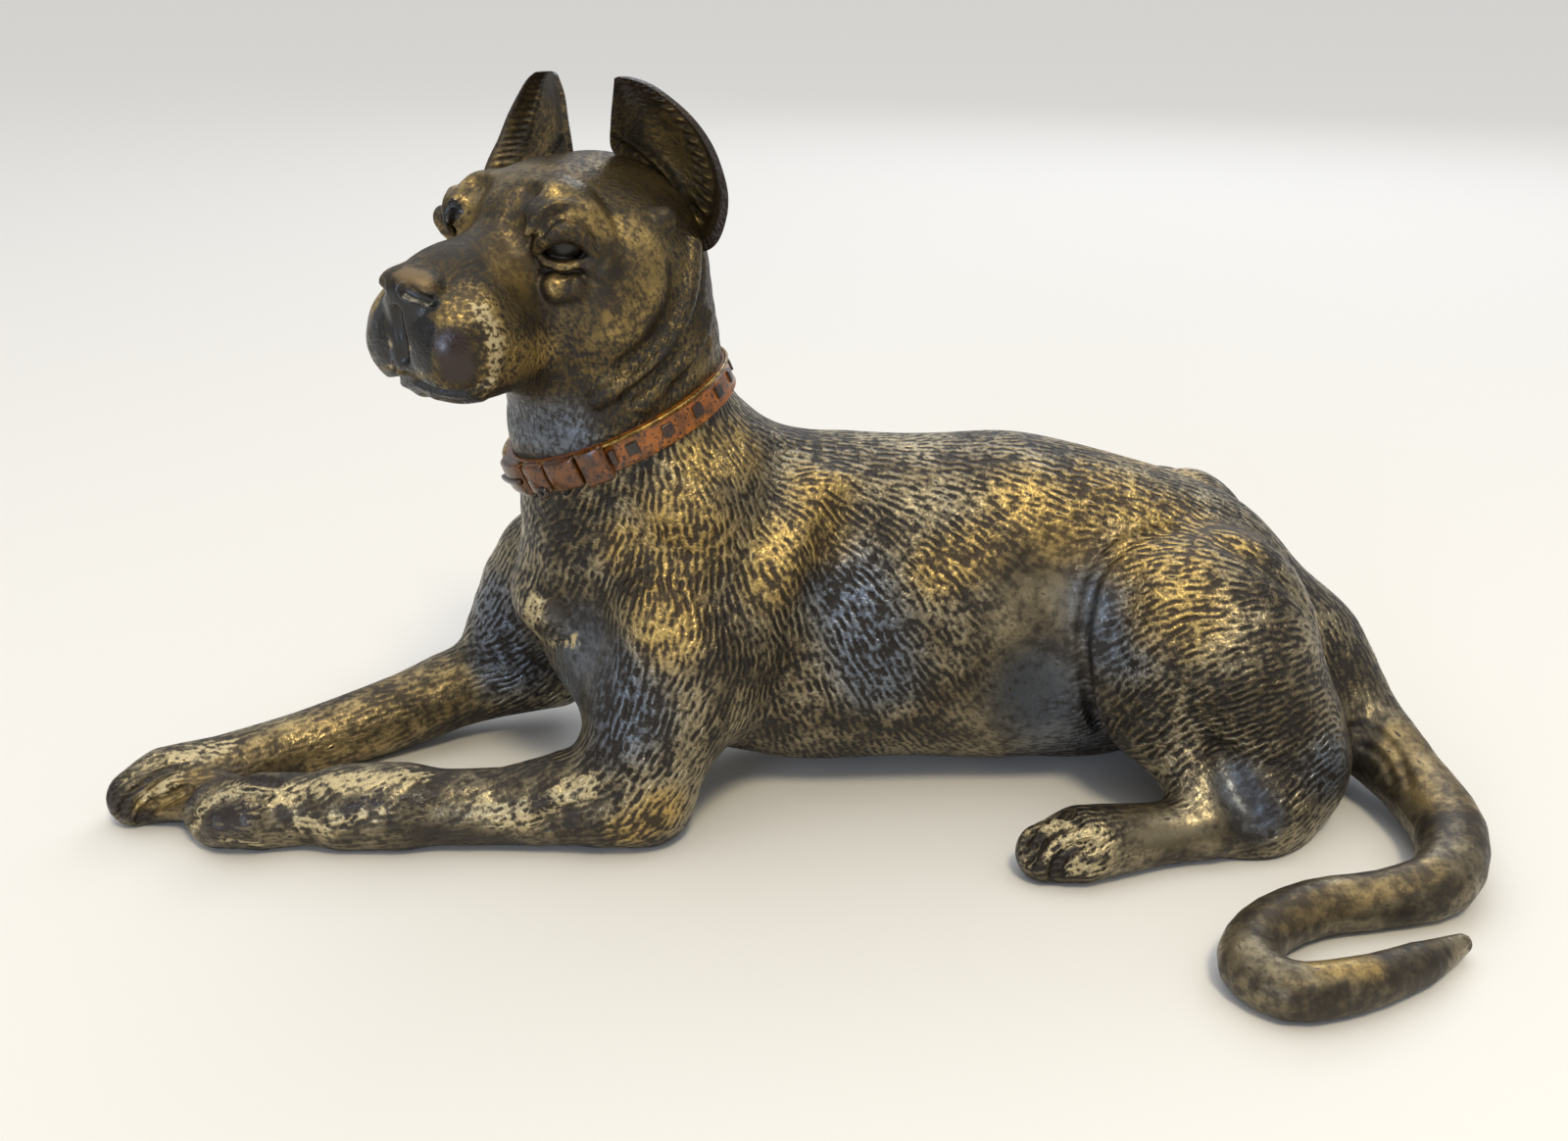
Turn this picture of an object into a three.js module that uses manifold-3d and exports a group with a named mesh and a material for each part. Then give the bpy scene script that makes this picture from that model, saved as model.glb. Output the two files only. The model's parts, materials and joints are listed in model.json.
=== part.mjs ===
// A reclining dog in cast bronze, built as a founder would: separate castings, joined by hidden
// dowels, with a painted collar strapped over the neck seam. Millimetres, Z up, the dog faces -X.
//
// The skin is one smooth blend of balls and tapered limbs, like clay pressed together. Each casting
// is the share of that clay inside its own seam, meshed with its edges kept sharp.

import * as THREE from 'three';
import { mergeVertices } from 'three/addons/utils/BufferGeometryUtils.js';
import Module from 'manifold-3d';

const wasm = await Module();
wasm.setup();

// Sizes of the whole figure: withers to tail root, belly width to rest on, table to top of back
const backLength = 100;
const stanceWidth = 50;
const backHeight = 50;

// Sizes of the head: nape to nose, ear to ear, jaw to crown
const headLength = 50;
const headWidth = 25;
const headHeight = 25;

// Thicknesses of limbs, neck and tail where they are plain, without their swells
const upperArmThickness = 19;
const forearmThickness = 9.6;
const haunchThickness = 24;
const shankThickness = 13;
const hindFootThickness = 8.8;
const neckThickness = 28.4;
const tailThickness = 8;
const muscleThickness = 10;

// Sizes of the ears, and of the collar: strap, frame buckle, keeper and studs
const earWall = 1.8;
const strapWidth = 3.8;
const strapThickness = 1.3;
const seatDepth = 0.6;
const buckleLength = 6.4;
const buckleWall = 1.2;
const prongThickness = 0.9;
const keeperLength = 2.4;
const keeperWall = 0.8;
const studSide = 1.6;
const studHeight = 0.5;

// Sizes of the dowels that join the castings, and how the pieces meet
const dowelDiameter = 3;
const dowelLength = 12;
const seamGap = 0.3;
const trunkSoftness = 9;
const limbSoftness = 4.5;
const detailSoftness = 3;
const limbReach = 2.6;
const tableLength = 320;
const tableDepth = 40;

// Coarseness of each casting's mesh
const trunkCell = 4.3;
const limbCell = 3;
const tailCell = 2.3;
const headCell = 2.48;

const mix = THREE.MathUtils.lerp;

// Places are shares of back length, stance width and back height; heads have their own three
const place = (share) => [share[0] * backLength, share[1] * stanceWidth, share[2] * backHeight];

// Smooth fields: each is a function of a point that is negative inside the shape

function ball(centre, half) {
  return (x, y, z) => {
    const a = (x - centre[0]) / half[0];
    const b = (y - centre[1]) / half[1];
    const c = (z - centre[2]) / half[2];
    const near = Math.sqrt(a * a + b * b + c * c);
    const slope = Math.sqrt((a / half[0]) ** 2 + (b / half[1]) ** 2 + (c / half[2]) ** 2);
    return slope === 0 ? -Math.min(...half) : (near * (near - 1)) / slope;
  };
}

function taper(from, to, fromRadius, toRadius) {
  const along = to.map((value, axis) => value - from[axis]);
  const span = along[0] ** 2 + along[1] ** 2 + along[2] ** 2;
  return (x, y, z) => {
    const p = x - from[0];
    const q = y - from[1];
    const r = z - from[2];
    const t = Math.min(1, Math.max(0, (p * along[0] + q * along[1] + r * along[2]) / span));
    const [a, b, c] = [p - t * along[0], q - t * along[1], r - t * along[2]];
    return Math.sqrt(a * a + b * b + c * c) - fromRadius - t * (toRadius - fromRadius);
  };
}

function softer(a, b, softness) {
  const ease = Math.max(softness - Math.abs(a - b), 0) / softness;
  return Math.min(a, b) - (ease * ease * softness) / 4;
}

function blend(softness, fields) {
  return (x, y, z) => {
    let sum = Infinity;
    for (const field of fields) sum = softer(sum, field(x, y, z), softness);
    return sum;
  };
}

function carve(field, cutter, softness) {
  return (x, y, z) => -softer(-field(x, y, z), cutter(x, y, z), softness);
}

// A limb is a smooth curve through its stations: each is a place in shares, then a share of the
// limb's thickness. Far from the limb its distance is taken from a ball around all of it, which is
// quicker and as good.
const stepsPerStation = 3;
const farSpans = 2;

function limb(stationShares, thickness) {
  const places = stationShares.map((shares) => new THREE.Vector3(...place(shares)));
  return limbThrough(places, stationShares.map((shares) => shares[3]), thickness);
}

function limbThrough(places, thicknessShares, thickness) {
  const curve = new THREE.CatmullRomCurve3(places);
  const spans = places.length - 1;
  const rings = Array.from({ length: spans * stepsPerStation + 1 }, (_, index) => {
    const t = index / stepsPerStation;
    const low = Math.min(Math.floor(t), spans - 1);
    const share = mix(thicknessShares[low], thicknessShares[low + 1], t - low);
    return { at: curve.getPoint(t / spans), radius: (share * thickness) / 2 };
  });
  const tapers = rings.slice(1).map((ring, index) =>
    taper(rings[index].at.toArray(), ring.at.toArray(), rings[index].radius, ring.radius));
  const bound = new THREE.Sphere().setFromPoints(rings.map(({ at }) => at));
  const most = Math.max(...rings.map(({ radius }) => radius));
  const { x: cx, y: cy, z: cz } = bound.center;
  return (x, y, z) => {
    const outer = Math.sqrt((x - cx) ** 2 + (y - cy) ** 2 + (z - cz) ** 2) - bound.radius - most;
    if (outer > farSpans * trunkSoftness) return outer;
    let least = Infinity;
    for (const field of tapers) least = Math.min(least, field(x, y, z));
    return least;
  };
}

const beyond = (point, normal) => (x, y, z) =>
  (x - point[0]) * normal.x + (y - point[1]) * normal.y + (z - point[2]) * normal.z;

// The trunk and its small swells: place, then half length, half width and half height
const trunkShares = [
  { at: [-0.17, 0.14, 0.55], half: [0.17, 0.3, 0.42] },
  { at: [0.03, 0.22, 0.49], half: [0.24, 0.34, 0.47] },
  { at: [0.28, 0.24, 0.48], half: [0.27, 0.34, 0.47] },
  { at: [0.49, 0.27, 0.45], half: [0.22, 0.33, 0.37] },
  { at: [0.665, 0.25, 0.27], half: [0.125, 0.2, 0.24] },
];
const sheathShares = { at: [0.42, 0.2, 0.1], half: [0.09, 0.08, 0.08] };
const breastboneShares = { at: [-0.318, 0.05, 0.57], half: [0.04, 0.1, 0.09] };
const shareBall = ({ at, half }) => ball(place(at), place(half));
const trunk = blend(detailSoftness, [
  blend(trunkSoftness, trunkShares.map(shareBall)),
  shareBall(sheathShares),
  shareBall(breastboneShares),
]);

// The neck rises from the chest through the collar to the skull
const collarShare = [-0.208, 0.08, 1.05];
const neckShares = [
  [-0.17, 0.14, 0.8, 1.1],
  [...collarShare, 1],
  [-0.208, 0.07, 1.24, 0.9],
  [-0.205, 0.06, 1.4, 0.8],
];
const neck = limb(neckShares, neckThickness);

// The forelegs: the upper arm down to the elbow, and the forearm from there to the toes
const leftUpperArmShares = [
  [-0.11, 0.04, 0.66, 1.26],
  [-0.145, -0.1, 0.42, 1],
  [-0.175, -0.19, 0.24, 0.86],
  [-0.19, -0.22, 0.15, 0.74],
];
const leftForearmShares = [
  [-0.175, -0.22, 0.1, 1.14],
  [-0.24, -0.23, 0.125, 1.4],
  [-0.36, -0.24, 0.098, 1.04],
  [-0.52, -0.24, 0.096, 1],
  [-0.6, -0.24, 0.09, 0.94],
  [-0.67, -0.245, 0.085, 1.04],
  [-0.725, -0.25, 0.068, 0.81],
];
const rightUpperArmShares = [
  [-0.15, 0.42, 0.7, 1.26],
  [-0.325, 0.44, 0.49, 0.98],
  [-0.39, 0.42, 0.28, 0.8],
];
const rightForearmShares = [
  [-0.34, 0.44, 0.17, 1.25],
  [-0.46, 0.37, 0.15, 1.22],
  [-0.54, 0.28, 0.115, 1.1],
  [-0.67, 0.11, 0.088, 0.96],
  [-0.76, -0.02, 0.085, 0.94],
  [-0.82, -0.1, 0.083, 1.04],
  [-0.855, -0.14, 0.066, 0.8],
];
const foreleg = (upperArmShares, forearmShares) => blend(detailSoftness, [
  limb(upperArmShares, upperArmThickness),
  limb(forearmShares, forearmThickness),
]);
const leftForeleg = foreleg(leftUpperArmShares, leftForearmShares);
const rightForeleg = foreleg(rightUpperArmShares, rightForearmShares);

// A hind leg is folded: thigh, knee, shank beside it, heel, and the foot flat along the ground.
// Places across are shares out from the middle of the rump, so both sides come from one function.
const rumpShare = 0.28;
const haunchShares = [
  { at: [0.565, 0.28, 0.47], half: [0.125, haunchThickness / stanceWidth / 2, 0.29] },
  { at: [0.485, 0.31, 0.55], half: [0.085, 0.16, 0.17] },
  { at: [0.49, 0.35, 0.36], half: [0.08, 0.15, 0.19] },
];
const heelShares = { at: [0.645, 0.41, 0.16], half: [0.072, 0.12, 0.15] };
const shankShares = [
  [0.49, 0.38, 0.28, 0.9],
  [0.54, 0.46, 0.17, 0.74],
  [0.6, 0.54, 0.09, 0.68],
];
const hindFootShares = [
  [0.6, 0.55, 0.083, 1],
  [0.47, 0.62, 0.076, 0.9],
  [0.37, 0.68, 0.084, 1.11],
  [0.325, 0.69, 0.066, 0.85],
];

function hindLeg(side, spreadShare) {
  const out = ([along, across, ...rest]) => [along, rumpShare + side * spreadShare * across, ...rest];
  const lobe = ({ at, half }) => shareBall({ at: out(at), half });
  return blend(detailSoftness, [
    blend(limbSoftness, haunchShares.map(lobe)),
    lobe(heelShares),
    limb(shankShares.map(out), shankThickness),
    limb(hindFootShares.map(out), hindFootThickness),
  ]);
}

const rightSpreadShare = 0.88;
const leftHindLeg = hindLeg(-1, 1);
const rightHindLeg = hindLeg(1, rightSpreadShare);

// The tail sweeps round the rump on the left, turns back and lies in a hook on the ground
const tailShares = [
  [0.73, 0.22, 0.28, 1.88],
  [0.79, 0.06, 0.17, 1.46],
  [0.825, -0.13, 0.115, 1.16],
  [0.835, -0.36, 0.09, 1.12],
  [0.79, -0.55, 0.074, 1],
  [0.71, -0.61, 0.064, 0.85],
  [0.62, -0.65, 0.064, 0.84],
  [0.545, -0.75, 0.064, 0.84],
  [0.515, -0.87, 0.064, 0.84],
  [0.545, -0.955, 0.062, 0.82],
  [0.62, -0.93, 0.056, 0.76],
  [0.71, -0.84, 0.046, 0.62],
  [0.775, -0.755, 0.04, 0.46],
];
const tail = limb(tailShares, tailThickness);

// The head has a frame of its own: forward to the nose, left, and up, turned toward the left
const headTurnDegrees = 55;
const headShare = [-0.25, 0.06, 1.46];
const headAt = place(headShare);
const up = new THREE.Vector3(0, 0, 1);
const headTurn = THREE.MathUtils.degToRad(headTurnDegrees);
const headForward = new THREE.Vector3(-1, 0, 0).applyAxisAngle(up, headTurn);
const headLeft = up.clone().cross(headForward);

const headPlace = (share) => [share[0] * headLength, share[1] * headWidth, share[2] * headHeight];

function headPoint(share) {
  const [ahead, left, rise] = headPlace(share);
  return new THREE.Vector3(...headAt)
    .addScaledVector(headForward, ahead)
    .addScaledVector(headLeft, left)
    .addScaledVector(up, rise);
}

function inHead(field) {
  return (x, y, z) => {
    const p = x - headAt[0];
    const q = y - headAt[1];
    const ahead = p * headForward.x + q * headForward.y;
    const left = p * headLeft.x + q * headLeft.y;
    return field(ahead, left, z - headAt[2]);
  };
}

const headBall = ({ at, half }) => ball(headPlace(at), headPlace(half));
const bothSides = ({ at: [ahead, left, rise], half }) =>
  [{ at: [ahead, left, rise], half }, { at: [ahead, -left, rise], half }].map(headBall);

const skullShares = [
  { at: [-0.04, 0, 0.04], half: [0.28, 0.44, 0.44] },
  { at: [0.14, 0, 0.15], half: [0.17, 0.37, 0.29] },
  { at: [0.1, 0, -0.34], half: [0.26, 0.32, 0.26] },
];
const cheekShares = { at: [0.04, 0.27, -0.14], half: [0.17, 0.24, 0.34] };
const chewingMuscleShares = { at: [0.07, 0.36, -0.12], half: [0.13, 0.24, 0.25] };
const bridgeShares = { at: [0.36, 0, -0.07], half: [0.2, 0.26, 0.22] };
const lipShares = { at: [0.43, 0.17, -0.24], half: [0.15, 0.19, 0.25] };
const jawShares = { at: [0.39, 0, -0.38], half: [0.18, 0.22, 0.14] };
const browShares = { at: [0.21, 0.29, 0.23], half: [0.08, 0.12, 0.1] };
const eyeSocketShares = { at: [0.3, 0.38, 0.1], half: [0.06, 0.1, 0.12] };

const face = blend(limbSoftness, [
  ...skullShares.map(headBall),
  ...bothSides(cheekShares),
  ...bothSides(chewingMuscleShares),
  blend(detailSoftness, [headBall(bridgeShares), ...bothSides(lipShares), headBall(jawShares)]),
]);
const browed = blend(detailSoftness, [face, ...bothSides(browShares)]);
const head = inHead(carve(browed, blend(detailSoftness, bothSides(eyeSocketShares)), detailSoftness));

// Muscles show through the skin. Each line of rough places is moved on to the clay, and a bead along
// it is pressed on or cut in. Its width and how far its middle is lifted off the skin are shares of
// the muscle thickness. What the far side has too is mirrored across the middle of the ribs.
const ribsShare = 0.2;
const muscleShares = [
  { press: true, far: true, width: 1.5, lift: -0.6, line: [[-0.13, -0.08, 0.85], [-0.11, -0.09, 0.8]] },
  { press: true, far: false, width: 1.4, lift: -0.56, line: [[-0.15, -0.13, 0.64], [-0.13, -0.15, 0.56]] },
  { press: false, far: false, width: 0.6, lift: 0.23, line: [[-0.2, -0.26, 0.81], [-0.11, -0.27, 0.77]] },
  {
    press: false,
    far: true,
    width: 0.9,
    lift: 0.36,
    line: [[0.02, 0.02, 0.92], [0, -0.08, 0.87], [-0.04, -0.2, 0.77], [-0.06, -0.24, 0.7]],
  },
  {
    press: true,
    far: false,
    width: 0.7,
    lift: -0.27,
    line: [[0.05, 0.02, 0.86], [0.04, 0, 0.82], [0.01, -0.07, 0.7]],
  },
  {
    press: false,
    far: false,
    width: 0.7,
    lift: 0.25,
    line: [[0.09, -0.03, 0.8], [0.07, -0.11, 0.7], [0.05, -0.15, 0.55], [0.02, -0.14, 0.38]],
  },
  {
    press: false,
    far: false,
    width: 0.8,
    lift: 0.3,
    line: [[-0.21, -0.2, 0.89], [-0.24, -0.2, 0.72], [-0.26, -0.2, 0.53]],
  },
  {
    press: false,
    far: true,
    width: 1.5,
    lift: 0.62,
    line: [[0.36, -0.08, 0.66], [0.35, -0.1, 0.52], [0.34, -0.09, 0.36]],
  },
];
const settleRounds = 20;

function settled(field, share, lift) {
  const spot = new THREE.Vector3(...place(share));
  for (let round = 0; round < settleRounds; round += 1) {
    const slope = slopeAt(field, spot.toArray(), seamGap);
    spot.addScaledVector(slope, lift - field(...spot.toArray()));
  }
  return spot;
}

function withMuscles(skin) {
  const mirrored = ([along, across, rise]) => [along, 2 * ribsShare - across, rise];
  let worked = skin;
  for (const { press, far, width, lift, line } of muscleShares) {
    for (const places of far ? [line, line.map(mirrored)] : [line]) {
      const spots = places.map((share) => settled(skin, share, lift * muscleThickness));
      const bead = limbThrough(spots, spots.map(() => width), muscleThickness);
      worked = press ? blend(limbSoftness, [worked, bead]) : carve(worked, bead, limbSoftness);
    }
  }
  return worked;
}

// All the clay together
const forequarters = blend(trunkSoftness, [trunk, leftForeleg, rightForeleg, tail, neck]);
const body = withMuscles(blend(detailSoftness, [forequarters, leftHindLeg, rightHindLeg]));
const dog = blend(limbSoftness, [body, head]);

// Seams: each casting keeps the clay on the far side of its own plane
const toward = (x, y, z) => new THREE.Vector3(x, y, z).normalize();
const collarNormal = toward(-0.38, -0.06, 0.92);
const haunchSeatShare = 0.3;
const seamShares = {
  head_casting: collarShare,
  left_foreleg: [-0.145, -0.08, 0.44],
  right_foreleg: [-0.28, 0.44, 0.5],
  left_hind_leg: [0.55, rumpShare - haunchSeatShare, 0.42],
  right_hind_leg: [0.55, rumpShare + haunchSeatShare, 0.42],
  tail_casting: [0.79, 0.06, 0.17],
};
const seamNormals = {
  head_casting: collarNormal.clone().negate(),
  left_foreleg: toward(0.1, 0.5, 0.86),
  right_foreleg: toward(0.55, -0.1, 0.8),
  left_hind_leg: toward(0, 1, 0),
  right_hind_leg: toward(0, -1, 0),
  tail_casting: toward(-0.2, 1, 0.3),
};
const seams = Object.fromEntries(Object.entries(seamShares).map(([name, share]) =>
  [name, { at: place(share), normal: seamNormals[name] }]));

const inside = (...fields) => (x, y, z) => {
  let most = -Infinity;
  for (const field of fields) most = Math.max(most, field(x, y, z));
  return most;
};
const boxed = (low, high) => (x, y, z) =>
  Math.max(low[0] - x, x - high[0], low[1] - y, y - high[1], low[2] - z, z - high[2]);
const grown = (field, reach) => (x, y, z) => field(x, y, z) - reach;
const apart = (one, other) => (x, y, z) => (one(x, y, z) - other(x, y, z)) / 2;
const limbEnvelope = (field, { at, normal }, ...others) =>
  inside(beyond(at, normal), ...[trunk, ...others].map((other) => apart(field, other)));

const envelopes = {
  head_casting: beyond(seams.head_casting.at, seams.head_casting.normal),
  left_foreleg: limbEnvelope(leftForeleg, seams.left_foreleg, rightForeleg),
  right_foreleg: limbEnvelope(rightForeleg, seams.right_foreleg, leftForeleg),
  left_hind_leg: limbEnvelope(leftHindLeg, seams.left_hind_leg, tail),
  right_hind_leg: limbEnvelope(rightHindLeg, seams.right_hind_leg, tail),
  tail_casting: limbEnvelope(tail, seams.tail_casting, leftHindLeg),
};

const casting = (name) => inside(dog, grown(envelopes[name], -seamGap / 2));
const outsideOf = (envelope) => (x, y, z) => seamGap - envelope(x, y, z);
const torsoField = inside(dog, ...Object.values(envelopes).map(outsideOf));

// Meshing: one vertex for each patch of surface in each cell that the surface crosses, at the
// point that best fits the tangent planes on the patch's edges, so that smooth skin stays smooth
// and seam edges stay sharp

const corners = [[0, 0, 0], [1, 0, 0], [0, 1, 0], [1, 1, 0], [0, 0, 1], [1, 0, 1], [0, 1, 1], [1, 1, 1]];
const steps = [[1, 0, 0], [0, 1, 0], [0, 0, 1]];
const cornerIndex = ([a, b, c]) => a + 2 * b + 4 * c;
const cellEdges = [];
corners.forEach((corner, from) => steps.forEach((step, axis) => {
  if (corner[axis] === 0) cellEdges.push({ from, to: from + cornerIndex(step), axis });
}));
const edgeAt = (corner, axis) =>
  cellEdges.findIndex((edge) => edge.from === cornerIndex(corner) && edge.axis === axis);
const cellFaces = steps.flatMap((step, axis) => [0, 1].map((side) => cellEdges
  .map((edge, index) => ({ edge, index }))
  .filter(({ edge }) => corners[edge.from][axis] === side && corners[edge.to][axis] === side)
  .map(({ index }) => index)));

function patchesOf(values) {
  const crossed = ({ from, to }) => values[from] < 0 !== values[to] < 0;
  const patch = cellEdges.map((edge, index) => (crossed(edge) ? index : -1));
  const join = (one, other) => {
    const [kept, gone] = [patch[one], patch[other]];
    patch.forEach((value, index) => {
      if (value === gone) patch[index] = kept;
    });
  };
  const filledCorner = ({ from, to }) => (values[from] < 0 ? from : to);
  for (const face of cellFaces) {
    const live = face.filter((index) => patch[index] >= 0);
    for (const one of live) {
      for (const other of live) {
        const sameCorner = filledCorner(cellEdges[one]) === filledCorner(cellEdges[other]);
        if (one < other && (live.length === 2 || sameCorner)) join(one, other);
      }
    }
  }
  return patch;
}

const stillnessShare = 0.08;
const edgeShare = 0.02;
const halvings = 12;

function slopeAt(field, point, step) {
  const [x, y, z] = point;
  return new THREE.Vector3(
    field(x + step, y, z) - field(x - step, y, z),
    field(x, y + step, z) - field(x, y - step, z),
    field(x, y, z + step) - field(x, y, z - step),
  ).normalize();
}

function crossing(field, from, to) {
  let low = from;
  let high = to;
  const lowInside = field(...from) < 0;
  for (let round = 0; round < halvings; round += 1) {
    const middle = low.map((value, axis) => (value + high[axis]) / 2);
    if (field(...middle) < 0 === lowInside) low = middle;
    else high = middle;
  }
  return low.map((value, axis) => (value + high[axis]) / 2);
}

function bestPoint(field, low, cell, edges) {
  const spot = (corner) => corner.map((value, axis) => low[axis] + value * cell);
  const points = edges.map(({ from, to }) => crossing(field, spot(corners[from]), spot(corners[to])));
  const middle = new THREE.Vector3();
  points.forEach((point) => middle.add(new THREE.Vector3(...point)));
  middle.divideScalar(points.length);
  const m = [stillnessShare, 0, 0, 0, stillnessShare, 0, 0, 0, stillnessShare];
  const right = new THREE.Vector3();
  for (const point of points) {
    const n = slopeAt(field, point, cell * edgeShare);
    const offset = n.dot(new THREE.Vector3(...point).sub(middle));
    const parts = [n.x, n.y, n.z];
    for (let row = 0; row < 3; row += 1) {
      for (let column = 0; column < 3; column += 1) m[row * 3 + column] += parts[row] * parts[column];
    }
    right.addScaledVector(n, offset);
  }
  const best = right.applyMatrix3(new THREE.Matrix3().set(...m).invert()).add(middle);
  const margin = cell * edgeShare;
  const floor = new THREE.Vector3(...low).addScalar(margin);
  return best.clamp(floor, floor.clone().addScalar(cell - 2 * margin));
}

function meshOf(field, lowCorner, highCorner, cell) {
  const low = lowCorner.map((value) => value - 2 * cell);
  const counts = low.map((value, axis) => Math.ceil((highCorner[axis] - value) / cell) + 3);
  const nodeIndex = (i, j, k) => (k * counts[1] + j) * counts[0] + i;
  const eachNode = (from, visit) => {
    for (let k = from; k < counts[2] - from; k += 1) {
      for (let j = from; j < counts[1] - from; j += 1) {
        for (let i = from; i < counts[0] - from; i += 1) visit(i, j, k);
      }
    }
  };
  const spot = (i, j, k) => [low[0] + i * cell, low[1] + j * cell, low[2] + k * cell];
  const values = new Float64Array(counts[0] * counts[1] * counts[2]);
  eachNode(0, (i, j, k) => {
    values[nodeIndex(i, j, k)] = field(...spot(i, j, k));
  });
  const vertexOf = new Map();
  const positions = [];
  eachNode(0, (i, j, k) => {
    if (i === counts[0] - 1 || j === counts[1] - 1 || k === counts[2] - 1) return;
    const here = corners.map(([a, b, c]) => values[nodeIndex(i + a, j + b, k + c)]);
    const filled = here.filter((value) => value < 0).length;
    if (filled === 0 || filled === corners.length) return;
    const patch = patchesOf(here);
    const firstEdge = nodeIndex(i, j, k) * cellEdges.length;
    for (const kind of new Set(patch.filter((value) => value >= 0))) {
      const edges = cellEdges.filter((edge, index) => patch[index] === kind);
      patch.forEach((value, index) => {
        if (value === kind) vertexOf.set(firstEdge + index, positions.length / 3);
      });
      positions.push(...bestPoint(field, spot(i, j, k), cell, edges).toArray());
    }
  });
  const triangles = [];
  const reach = (a, b) => Math.hypot(...steps.map((_, n) => positions[a * 3 + n] - positions[b * 3 + n]));
  eachNode(1, (i, j, k) => {
    const value = values[nodeIndex(i, j, k)];
    steps.forEach((step, axis) => {
      const next = values[nodeIndex(i + step[0], j + step[1], k + step[2])];
      if (value < 0 === next < 0) return;
      const u = steps[(axis + 1) % 3];
      const v = steps[(axis + 2) % 3];
      const around = [[0, 0], [1, 0], [1, 1], [0, 1]].map(([a, b]) => {
        const corner = u.map((part, n) => a * part + b * v[n]);
        const cellIndex = nodeIndex(i - corner[0], j - corner[1], k - corner[2]);
        return vertexOf.get(cellIndex * cellEdges.length + edgeAt(corner, axis));
      });
      const [a, b, c, d] = value < 0 ? around : around.reverse();
      if (reach(a, c) <= reach(b, d)) triangles.push(a, b, c, a, c, d);
      else triangles.push(b, c, d, b, d, a);
    });
  });
  const geometry = new THREE.BufferGeometry();
  geometry.setAttribute('position', new THREE.BufferAttribute(new Float32Array(positions), 3));
  geometry.setIndex(triangles);
  return geometry;
}

// Solids: a closed geometry as a solid that can be cut and joined, and back again

function solid(geometry) {
  const bare = geometry.clone();
  bare.deleteAttribute('normal');
  bare.deleteAttribute('uv');
  const merged = mergeVertices(bare);
  return new wasm.Manifold(new wasm.Mesh({
    numProp: 3,
    vertProperties: new Float32Array(merged.attributes.position.array),
    triVerts: new Uint32Array(merged.index.array),
  }));
}

function geometryOf(manifold) {
  const mesh = manifold.getMesh();
  const geometry = new THREE.BufferGeometry();
  geometry.setAttribute('position', new THREE.BufferAttribute(new Float32Array(mesh.vertProperties), 3));
  geometry.setIndex(new THREE.BufferAttribute(new Uint32Array(mesh.triVerts), 1));
  return geometry;
}

// Small round forms of the face, joined to the head casting: eyeballs and the leather of the nose
const eyeShares = { at: [0.235, 0.31, 0.13], half: [0.05, 0.1, 0.09] };
const noseShares = { at: [0.545, 0, 0.03], half: [0.05, 0.19, 0.1] };
const nubSlices = 12;
const nubRows = 8;
const headBasis = new THREE.Matrix4().makeBasis(headForward, headLeft, up);

function headNub({ at, half }, side = 1) {
  const spot = headPoint([at[0], side * at[1], at[2]]);
  return solid(new THREE.SphereGeometry(1, nubSlices, nubRows)
    .scale(...headPlace(half))
    .applyMatrix4(headBasis)
    .translate(spot.x, spot.y, spot.z));
}
const faceNubs = [headNub(eyeShares, 1), headNub(eyeShares, -1), headNub(noseShares)];

// Cut one solid by others
const without = (blank, ...cutters) => cutters.reduce((left, cutter) => left.subtract(cutter), blank);

// The collar lies in a frame of its own: forward, toward the left, and along the neck
const collarAt = new THREE.Vector3(...place(collarShare));
const collarFront = new THREE.Vector3(-1, 0, 0).projectOnPlane(collarNormal).normalize();
const collarSide = collarNormal.clone().cross(collarFront);
const collarFrame = new THREE.Matrix4()
  .makeBasis(collarFront, collarSide, collarNormal)
  .setPosition(collarAt);

const seatRadius = neckThickness / 2 - seatDepth;
const strapInner = seatRadius + seamGap;
const strapOuter = strapInner + strapThickness;
const tongueThickness = strapThickness * 0.6;
const tongueInner = strapOuter + seamGap;
const tongueOuter = tongueInner + tongueThickness;
const frameInner = strapOuter + seamGap;
const frameOuter = frameInner + buckleWall;
const prongInner = frameOuter + seamGap;
const keeperInner = tongueOuter + seamGap;
const keeperOuter = keeperInner + keeperWall;
const throughCut = 2 * seatDepth;
const bandSlices = 10;
const ringSides = 36;

// A band bent round the neck: from one radius to another, between two angles, at a given width
function band(inner, outer, [fromDegrees, toDegrees], width) {
  const from = THREE.MathUtils.degToRad(fromDegrees);
  const to = THREE.MathUtils.degToRad(toDegrees);
  const slices = Math.ceil((bandSlices * (to - from)) / (Math.PI / 4));
  const arc = (radius, index) => {
    const angle = mix(from, to, index / slices);
    return new THREE.Vector2(Math.cos(angle), Math.sin(angle)).multiplyScalar(radius);
  };
  const there = Array.from({ length: slices + 1 }, (_, index) => arc(outer, index));
  const back = Array.from({ length: slices + 1 }, (_, index) => arc(inner, slices - index));
  return solid(new THREE.ExtrudeGeometry(new THREE.Shape([...there, ...back]), {
    depth: width,
    bevelEnabled: false,
  }).translate(0, 0, -width / 2).applyMatrix4(collarFrame));
}

function ringSolid(inner, outer, width) {
  const profile = [[inner, -width / 2], [outer, -width / 2], [outer, width / 2], [inner, width / 2]];
  const points = [...profile, profile[0]].map(([radius, rise]) => new THREE.Vector2(radius, rise));
  return solid(new THREE.LatheGeometry(points, ringSides).rotateX(Math.PI / 2).applyMatrix4(collarFrame));
}

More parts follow.
